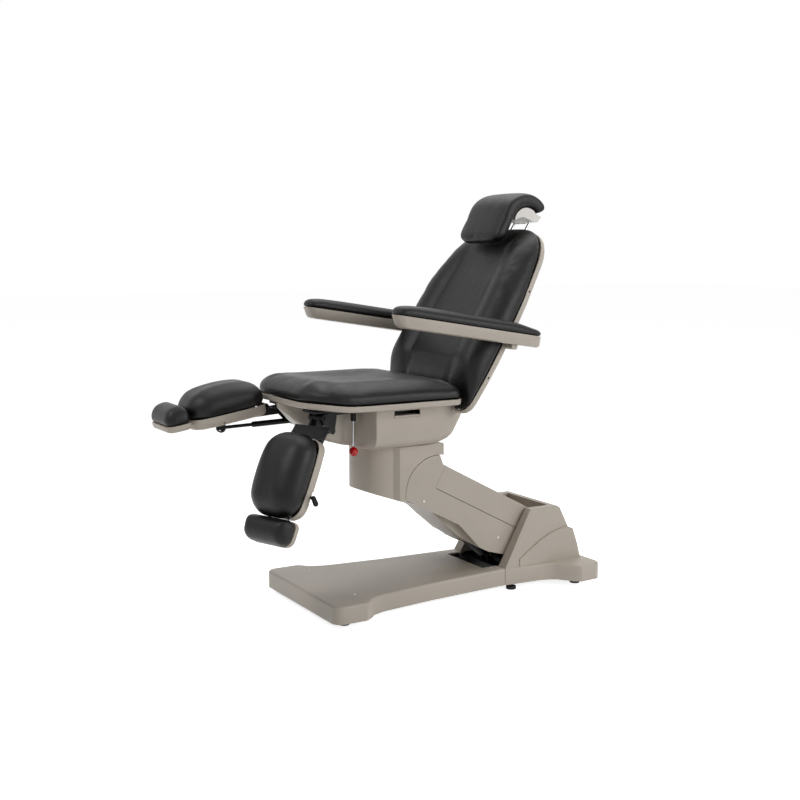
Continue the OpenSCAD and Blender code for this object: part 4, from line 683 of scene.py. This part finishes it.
class CHAIR_OT_seat_cushion(ChairStep, bpy.types.Operator):
    """Makes the seat cushion: full in front, rolled at its sides, with a shallow dip where the patient sits."""

    bl_idname = "chair.seat_cushion"
    bl_label = "Seat cushion"

    rows = [
        [0.010, 0.0], [-0.004, 0.09], [-0.016, 0.24], [-0.010, 0.42], [0.030, 0.63], [0.09, 0.81],
        [0.17, 0.93], [0.26, 0.985], [0.36, 1.0], [0.50, 1.0], [0.66, 1.0], [0.80, 1.0],
    ]

    def execute(self, context):
        def outline(inset):
            half = [[0, SEAT_HALF], [1, SEAT_HALF]]
            return board(SEAT_FRONT, SEAT_REAR, r0=0.152, r1=0.039, half=half, inset=inset + 0.001)

        def height(x, y, share):
            along = (y - SEAT_FRONT) / (SEAT_REAR - SEAT_FRONT)
            middle = np.exp(-((x / 0.13) ** 4))
            dip = 0.15 * middle * ease((along - 0.12) / 0.35)
            dip = dip + 0.10 * ease((along - 0.72) / 0.28) * (1 - 0.5 * middle)
            return share * SEAT_PAD * (1 - dip * ease(share * 1.4))

        def place(points):
            along = (points[:, 1] - SEAT_FRONT) / (SEAT_REAR - SEAT_FRONT)
            rise = 0.013 * (1 - np.cos(np.pi * np.clip((0.3 - along) / 0.3, 0, 1))) / 2
            return points + np.stack([0 * rise, 0 * rise, SEAT_RIM + rise], -1)

        form = pad_form("seat_cushion_padded", outline, self.rows, SEAT_HALF, height, SEAT_GAP)
        voxel = self.sizes.cushion_voxel
        stuffed(form, place, "seat_cushion", SEAT_GAP, uncarved, voxel=voxel, give=0.005)
        return {"FINISHED"}


class CHAIR_OT_back(ChairStep, bpy.types.Operator):
    """Finishes the back's shell, frame, actuator and pins."""

    bl_idname = "chair.back"
    bl_label = "Back"

    def execute(self, context):
        dress("back_shell", "shell_abs", self.sizes.tray_edge)
        dress("back_frame", "black_powder_coat", self.sizes.metal_edge)
        dress("armrest_pins", "zinc_plated_steel", self.sizes.metal_edge)
        dress("back_motor", "black_powder_coat", self.sizes.metal_edge)
        dress("back_motor_rod", "polished_steel", self.sizes.metal_edge)
        return {"FINISHED"}


class CHAIR_OT_back_cushion(ChairStep, bpy.types.Operator):
    """Makes the back cushion: two side bolsters that fade towards the top, with a sewn channel inside each."""

    bl_idname = "chair.back_cushion"
    bl_label = "Back cushion"

    # Shares of the back's length against shares of its half width, and of the cushion's height
    plan = [[0, 0.955], [0.21, 1], [0.56, 0.975], [0.89, 0.82], [1, 0.80]]
    swell = [
        [-0.04, 0.12], [0, 0.14], [0.014, 0.21], [0.056, 0.46], [0.112, 0.73], [0.168, 0.94], [0.21, 1], [0.6, 1],
        [0.9, 0.76], [1, 0.56],
    ]
    rows = [
        [0.006, 0.0], [-0.020, 0.10], [-0.036, 0.28], [-0.024, 0.48], [0.012, 0.70], [0.07, 0.88],
        [0.14, 0.975], [0.22, 1.0], [0.32, 1.0], [0.48, 1.0], [0.64, 1.0], [0.80, 1.0],
    ]

    # The sewn channels: share of the half width, depth and width in metres, and the shares of the length
    # where they start to fade and over which they do
    channel, channel_depth, channel_width = 0.52, 0.006, 0.016
    fade, fade_over = 0.62, 0.25

    # Room at the lower end for the hinge, and how far from the upper end the cover is drawn in for the headrest
    hinge_half, hinge_end, drawn_in = 0.192, 0.0212, 0.008

    def execute(self, context):
        half = [[place, share * BACK_HALF] for place, share in self.plan]

        def outline(inset):
            return board(-0.020, BACK_LEN, r0=0.045, r1=0.140, half=half, inset=inset + 0.002)

        def height(x, y, share):
            thick = BACK_PAD * curve_through(self.swell, y / BACK_LEN)
            width = np.interp(y / BACK_LEN, *np.array(half).T)
            panel = 1 - ease((np.abs(x) / width - 0.40) / 0.34)
            dip = 0.26 * panel * (1 - ease((y / BACK_LEN - 0.70) / 0.26))
            return share * thick * (1 - dip * ease(share * 1.5))

        def carve(points):
            # A sewn channel runs up each side between the middle panel and the bolster
            width = np.interp(points[:, 1] / BACK_LEN, *np.array(half).T)
            off = np.abs(points[:, 0]) - width * self.channel
            left = 1 - ease((points[:, 1] / BACK_LEN - self.fade) / self.fade_over)
            depth = self.channel_depth * np.exp(-((off / self.channel_width) ** 2)) * left
            out = points.copy()
            out[:, 2] -= depth * (points[:, 2] > 0.02)
            # Room for the hinge between the two lower corners
            low = (np.abs(points[:, 0]) < self.hinge_half) & (points[:, 1] < self.hinge_end)
            out[:, 1] = np.where(low, self.hinge_end, out[:, 1])
            # Room for the headrest's plate over the upper end
            top = BACK_LEN - self.drawn_in
            out[:, 1] = np.where(out[:, 1] > top, top + (out[:, 1] - top) * 0.3, out[:, 1])
            return out

        form = pad_form("back_cushion_padded", outline, self.rows, BACK_HALF, height, SEAT_GAP)
        voxel = self.sizes.cushion_voxel
        stuffed(form, on_back, "back_cushion", SEAT_GAP, carve, voxel=voxel, give=0.004)
        return {"FINISHED"}


class CHAIR_OT_headrest(ChairStep, bpy.types.Operator):
    """Makes the curved headrest cushion and finishes its plate and rods."""

    bl_idname = "chair.headrest"
    bl_label = "Headrest"

    # Degrees round the curve against shares of the full thickness
    turns = [-29.5, -27, -22, -14, 0, 40, HEAD_BEND, 120, 146, 166, 177, 182, 186]
    grows = [0.50, 0.76, 0.94, 1, 1, 1, 1, 1, 1, 0.98, 0.88, 0.70, 0.42]

    # Room that the stuffing swells into, and how far the outer face is crowned, in metres
    slack, crown = 0.001, 0.004

    def execute(self, context):
        a = np.linspace(self.turns[0], self.turns[-1], 72)[:, None]
        grow = curve_through(np.stack([self.turns, self.grows], -1), a)
        # Each section is a superellipse: wide and flat inside the curve, with full round shoulders
        u = np.linspace(0, 2 * math.pi, 72, endpoint=False)[None, :]
        c, s = np.cos(u), np.sin(u)
        # The front end has round corners
        left = np.clip(np.radians(self.turns[-1] - a) * (HEAD_R - HEAD_T / 2) / HEAD_CORNER, 0, 1)
        corner = HEAD_CORNER * (1 - np.sqrt(1 - (1 - left) ** 2))
        x = np.sign(c) * np.abs(c) ** 0.30 * (HEAD_HALF - self.slack - corner - HEAD_T / 4 * (1 - grow))
        n = np.sign(s) * np.abs(s) ** 0.42 * (HEAD_T / 2 - self.slack) * grow
        n = n + self.crown * (1 - (x / HEAD_HALF) ** 2) * (s > 0) * grow
        rho = HEAD_R - HEAD_T / 2 + n
        # The curve is an arc up to the bend, and runs on straight from there
        turn = np.radians(np.minimum(a, HEAD_BEND))
        leg = np.radians(np.maximum(0, a - HEAD_BEND)) * (HEAD_R - HEAD_T / 2)
        along = HEAD_UP + rho * np.cos(turn) - leg * np.sin(turn)
        out = HEAD_OUT + rho * np.sin(turn) + leg * np.cos(turn)
        form = lofted("headrest_cushion_padded", np.stack([x, along, out], -1))
        stuffed(form, on_back, "headrest_cushion", NO_SEAT, uncarved, voxel=0.0042, give=0.003)
        dress("headrest_plate", "plate_abs", PLATE_EDGE)
        dress("headrest_rods", "polished_steel", self.sizes.metal_edge)
        return {"FINISHED"}


class CHAIR_OT_armrests(ChairStep, bpy.types.Operator):
    """Makes the armrest pads and finishes their shells."""

    bl_idname = "chair.armrests"
    bl_label = "Armrests"

    rows = [
        [0.06, 0.0], [0.0, 0.12], [-0.03, 0.32], [0.02, 0.56], [0.14, 0.78], [0.32, 0.92], [0.55, 0.99], [0.78, 1.0],
    ]

    def execute(self, context):
        half = [[0, 0.92 * ARMREST_HALF], [0.3, ARMREST_HALF], [0.9, ARMREST_HALF], [1, 0.92 * ARMREST_HALF]]

        def outline(inset):
            end = ARMREST_TAIL + ARMREST_LEN
            return board(
                ARMREST_TAIL, end, r0=0.031, r1=0.024, half=half, inset=inset - 0.0005, corner=10, side=40
            )

        def height(x, y, share):
            tail = ease((y - ARMREST_TAIL) / (ARMREST_LEN * 0.22))
            nose = ease((ARMREST_TAIL + ARMREST_LEN - y) / (ARMREST_LEN * 0.10))
            return share * ARM_PAD * (0.60 + 0.40 * tail) * (0.82 + 0.18 * nose)

        for side in SIDES:
            place = on_armrest(side)
            level = ARMREST_TOP + SEAT_GAP
            form = pad_form(side + "_armrest_pad_padded", outline, self.rows, ARMREST_HALF, height, level)
            stuffed(form, place, side + "_armrest_pad", level, uncarved, voxel=0.0045, give=0.003)
            dress(side + "_armrest_shell", "shell_abs", self.sizes.tray_edge)
        return {"FINISHED"}


class CHAIR_OT_leg_cushions(ChairStep, bpy.types.Operator):
    """Makes the leg cushions: high crowned, with drawn-in ends and a shallow trough for the calf."""

    bl_idname = "chair.leg_cushions"
    bl_label = "Leg cushions"

    rows = [
        [0.010, 0.0], [-0.040, 0.10], [-0.080, 0.26], [-0.066, 0.44], [0.0, 0.62], [0.12, 0.78],
        [0.28, 0.90], [0.48, 0.97], [0.66, 1.0], [0.82, 1.0],
    ]

    def execute(self, context):
        half = [[0, 0.90 * LEG_HALF], [0.4, LEG_HALF], [0.7, LEG_HALF], [1, 0.88 * LEG_HALF]]

        def outline(inset):
            return board(LEG_START, LEG_END, r0=0.060, r1=0.056, half=half, inset=inset + 0.0005)

        def height(x, y, share):
            dome = 1 - (2 * (y - LEG_START) / (LEG_END - LEG_START) - 1) ** 2
            trough = 0.04 * np.exp(-((x / 0.028) ** 2)) * ease(share * 1.3 - 0.3)
            return share * (LEG_PAD + LEG_DOME * dome) * (1 - trough)

        for side in SIDES:
            level = LEG_RIM + SEAT_GAP
            form = pad_form(side + "_leg_cushion_padded", outline, self.rows, LEG_HALF, height, level)
            stuffed(form, on_leg(side), side + "_leg_cushion", level, uncarved, voxel=0.005, give=0.005)
        return {"FINISHED"}


class CHAIR_OT_foot_cushions(ChairStep, bpy.types.Operator):
    """Makes the foot cushions at the ends of the leg rests."""

    bl_idname = "chair.foot_cushions"
    bl_label = "Foot cushions"

    rows = [
        [0.06, 0.0], [0.0, 0.12], [-0.02, 0.30], [0.05, 0.54], [0.20, 0.77], [0.42, 0.93], [0.62, 0.99], [0.8, 1.0],
    ]

    def execute(self, context):
        half = [[0, LEG_HALF], [1, LEG_HALF]]

        def outline(inset):
            end = FOOT_START + FOOT_LEN
            return board(
                FOOT_START, end, r0=0.021, r1=0.032, half=half, inset=inset + 0.0005, corner=10, side=14
            )

        def height(x, y, share):
            return share * FOOT_PAD * (1 - 0.14 * ease((y - FOOT_START) / FOOT_LEN) ** 2)

        for side in SIDES:
            level = LEG_RIM + SEAT_GAP
            form = pad_form(side + "_foot_cushion_padded", outline, self.rows, FOOT_LEN / 2, height, level)
            stuffed(form, on_leg(side), side + "_foot_cushion", level, uncarved, voxel=0.0045, give=0.004)
        return {"FINISHED"}


class CHAIR_OT_leg_rests(ChairStep, bpy.types.Operator):
    """Finishes the leg rests' shells, brackets, struts and rails."""

    bl_idname = "chair.leg_rests"
    bl_label = "Leg rests"

    def execute(self, context):
        for side in SIDES:
            dress(side + "_leg_shell", "shell_abs", self.sizes.metal_edge)
            dress(side + "_foot_shell", "shell_abs", self.sizes.tray_edge)
            dress(side + "_swing_bracket", "black_powder_coat", self.sizes.metal_edge)
            dress(side + "_leg_frame", "black_powder_coat", self.sizes.metal_edge)
            dress(side + "_strut_sleeve", "black_powder_coat", self.sizes.metal_edge)
            dress(side + "_strut_rod", "black_powder_coat", self.sizes.metal_edge)
            dress(side + "_foot_rails", "polished_steel", self.sizes.metal_edge)
        return {"FINISHED"}


class CHAIR_OT_controls(ChairStep, bpy.types.Operator):
    """Makes the red release balls on their rods, and the lock levers' grips."""

    bl_idname = "chair.controls"
    bl_label = "Balls and levers"

    def execute(self, context):
        for side in SIDES:
            low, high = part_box(side + "_release_knob")
            middle = (np.array(low) + np.array(high)) / 2
            centre = np.array([middle[0], middle[1], low[2] + BALL_R])
            q = np.radians(np.linspace(-90, 66, 26))
            ball = np.stack([BALL_R * np.cos(q), BALL_R * np.sin(q)], -1).tolist()
            collar = [[0.0058, 0.0150], [0.0056, 0.0172], [0.0034, 0.0184], [0.0, 0.0184]]
            ball = turned_piece(side + "_release_ball", ball + collar, centre, (0, 0, 1))
            tip = high[2] - centre[2]
            sleeve = tip - SLEEVE_LEN
            rod = [
                [0.0, 0.0150], [ROD_R, 0.0150], [ROD_R, sleeve - 0.001], [0.0040, sleeve - 0.0006],
                [SLEEVE_R, sleeve], [SLEEVE_R, tip - 0.001], [0.0036, tip], [0.0, tip],
            ]
            rod = turned_piece(side + "_release_rod", rod, centre, (0, 0, 1), 28)
            finish(creased(ball, math.radians(40)), "red_phenolic", side + "_knob", [side + "_release_knob"])
            finish(creased(rod), "polished_steel", side + "_knob")
            dress(side + "_lock_lever", "black_powder_coat", self.sizes.metal_edge)
        return {"FINISHED"}


class CHAIR_OT_stage(ChairStep, bpy.types.Operator):
    """Makes the studio: a pale floor, soft lamps, the world and the camera."""

    bl_idname = "chair.stage"
    bl_label = "Studio"

    def lamp(self, name, at, towards, size, power):
        """A square softbox that faces a point."""
        data = bpy.data.lights.new(name, "AREA")
        data.size = size
        data.energy = power
        lamp = bpy.data.objects.new(name, data)
        lamp.location = at
        lamp.rotation_euler = (Vector(towards) - Vector(at)).to_track_quat("-Z", "Y").to_euler()
        bpy.context.scene.collection.objects.link(lamp)

    def execute(self, context):
        scene = context.scene
        corners = np.array([[-1, -1, 0], [1, -1, 0], [1, 1, 0], [-1, 1, 0]], float) * FLOOR_HALF
        floor = mesh_from("floor", corners, [[0, 1, 2, 3]])
        floor.data.materials.append(self.floor_material(scene.chair_colours.floor))
        self.world(scene)
        for softbox in LAMPS:
            self.lamp(*softbox)
        camera = bpy.data.objects.new("camera", bpy.data.cameras.new("camera"))
        camera.data.sensor_width = 36
        camera.data.lens = LENS
        camera.data.clip_end = 100
        camera.location = CAMERA_AT
        aim = Vector(CAMERA_AIM) - camera.location
        camera.rotation_euler = aim.to_track_quat("-Z", "Y").to_euler()
        scene.collection.objects.link(camera)
        scene.camera = camera
        scene.view_settings.view_transform = "Standard"
        return {"FINISHED"}

    def floor_material(self, colour):
        """Matt studio paper: white for the camera, apart from the chair's soft shadow."""
        material = bpy.data.materials.new("studio_paper")
        material.use_nodes = True
        tree = material.node_tree
        tree.nodes.clear()
        place = add(tree, "ShaderNodeTexCoord").outputs["Object"]
        ramp = add(tree, "ShaderNodeValToRGB", _0=noise(tree, place, 0.4, 3))
        ramp.color_ramp.elements[0].color = [c * 0.98 for c in colour] + [1]
        ramp.color_ramp.elements[1].color = list(colour) + [1]
        paper = add(tree, "ShaderNodeBsdfDiffuse", {"Roughness": 0.4}, Color=ramp.outputs["Color"])
        glow = add(tree, "ShaderNodeEmission", {"Strength": FLOOR_GLOW})
        lit = add(tree, "ShaderNodeAddShader", _0=paper.outputs[0], _1=glow.outputs[0])
        path = add(tree, "ShaderNodeLightPath")
        seen = self.any_of(tree, path, "Is Camera Ray", "Is Glossy Ray", "Is Transmission Ray")
        mix = add(tree, "ShaderNodeMixShader", _0=seen, _1=paper.outputs[0], _2=lit.outputs[0])
        add(tree, "ShaderNodeOutputMaterial", Surface=mix.outputs[0])
        return material

    def any_of(self, tree, path, *kinds):
        """One where a ray is of one of the kinds, and zero elsewhere."""
        sums = path.outputs[kinds[0]]
        for kind in kinds[1:]:
            both = {"operation": "ADD", "use_clamp": True}
            sums = add(tree, "ShaderNodeMath", both, _0=sums, _1=path.outputs[kind]).outputs[0]
        return sums

    def world(self, scene):
        """A white sky for the camera and for mirrors, and a softer one that lights the chair."""
        world = bpy.data.worlds.new("studio")
        world.use_nodes = True
        scene.world = world
        tree = world.node_tree
        tree.nodes.clear()
        path = add(tree, "ShaderNodeLightPath")
        seen = self.any_of(tree, path, "Is Camera Ray", "Is Glossy Ray", "Is Transmission Ray")
        sky = add(tree, "ShaderNodeBackground", {"Color": (1, 1, 1, 1), "Strength": SKY})
        white = add(tree, "ShaderNodeBackground", {"Color": (1, 1, 1, 1), "Strength": 1.0})
        mix = add(tree, "ShaderNodeMixShader", _0=seen, _1=sky.outputs[0], _2=white.outputs[0])
        add(tree, "ShaderNodeOutputWorld", Surface=mix.outputs[0])


STEPS = (
    CHAIR_OT_materials,
    CHAIR_OT_stage,
    CHAIR_OT_base,
    CHAIR_OT_lift,
    CHAIR_OT_column,
    CHAIR_OT_seat,
    CHAIR_OT_seat_cushion,
    CHAIR_OT_back,
    CHAIR_OT_back_cushion,
    CHAIR_OT_headrest,
    CHAIR_OT_armrests,
    CHAIR_OT_leg_rests,
    CHAIR_OT_leg_cushions,
    CHAIR_OT_foot_cushions,
    CHAIR_OT_controls,
)


class CHAIR_PT_panel(bpy.types.Panel):
    """Lists the chair's steps and its settings."""

    bl_idname = "CHAIR_PT_panel"
    bl_label = "Podiatry chair"
    bl_space_type = "VIEW_3D"
    bl_region_type = "UI"
    bl_category = "Chair"

    def draw(self, context):
        for group in (context.scene.chair_colours, context.scene.chair_sizes):
            for name in group.__annotations__:
                self.layout.prop(group, name)
        for step in STEPS:
            self.layout.operator(step.bl_idname)


CLASSES = (CHAIR_PG_colours, CHAIR_PG_sizes, *STEPS, CHAIR_PT_panel)


def register():
    for cls in CLASSES:
        bpy.utils.register_class(cls)
    bpy.types.Scene.chair_colours = bpy.props.PointerProperty(type=CHAIR_PG_colours)
    bpy.types.Scene.chair_sizes = bpy.props.PointerProperty(type=CHAIR_PG_sizes)


def unregister():
    del bpy.types.Scene.chair_sizes
    del bpy.types.Scene.chair_colours
    for cls in reversed(CLASSES):
        bpy.utils.unregister_class(cls)


def main():
    register()
    for step in STEPS:
        group, name = step.bl_idname.split(".")
        getattr(getattr(bpy.ops, group), name)()


if __name__ == "__main__":
    main()
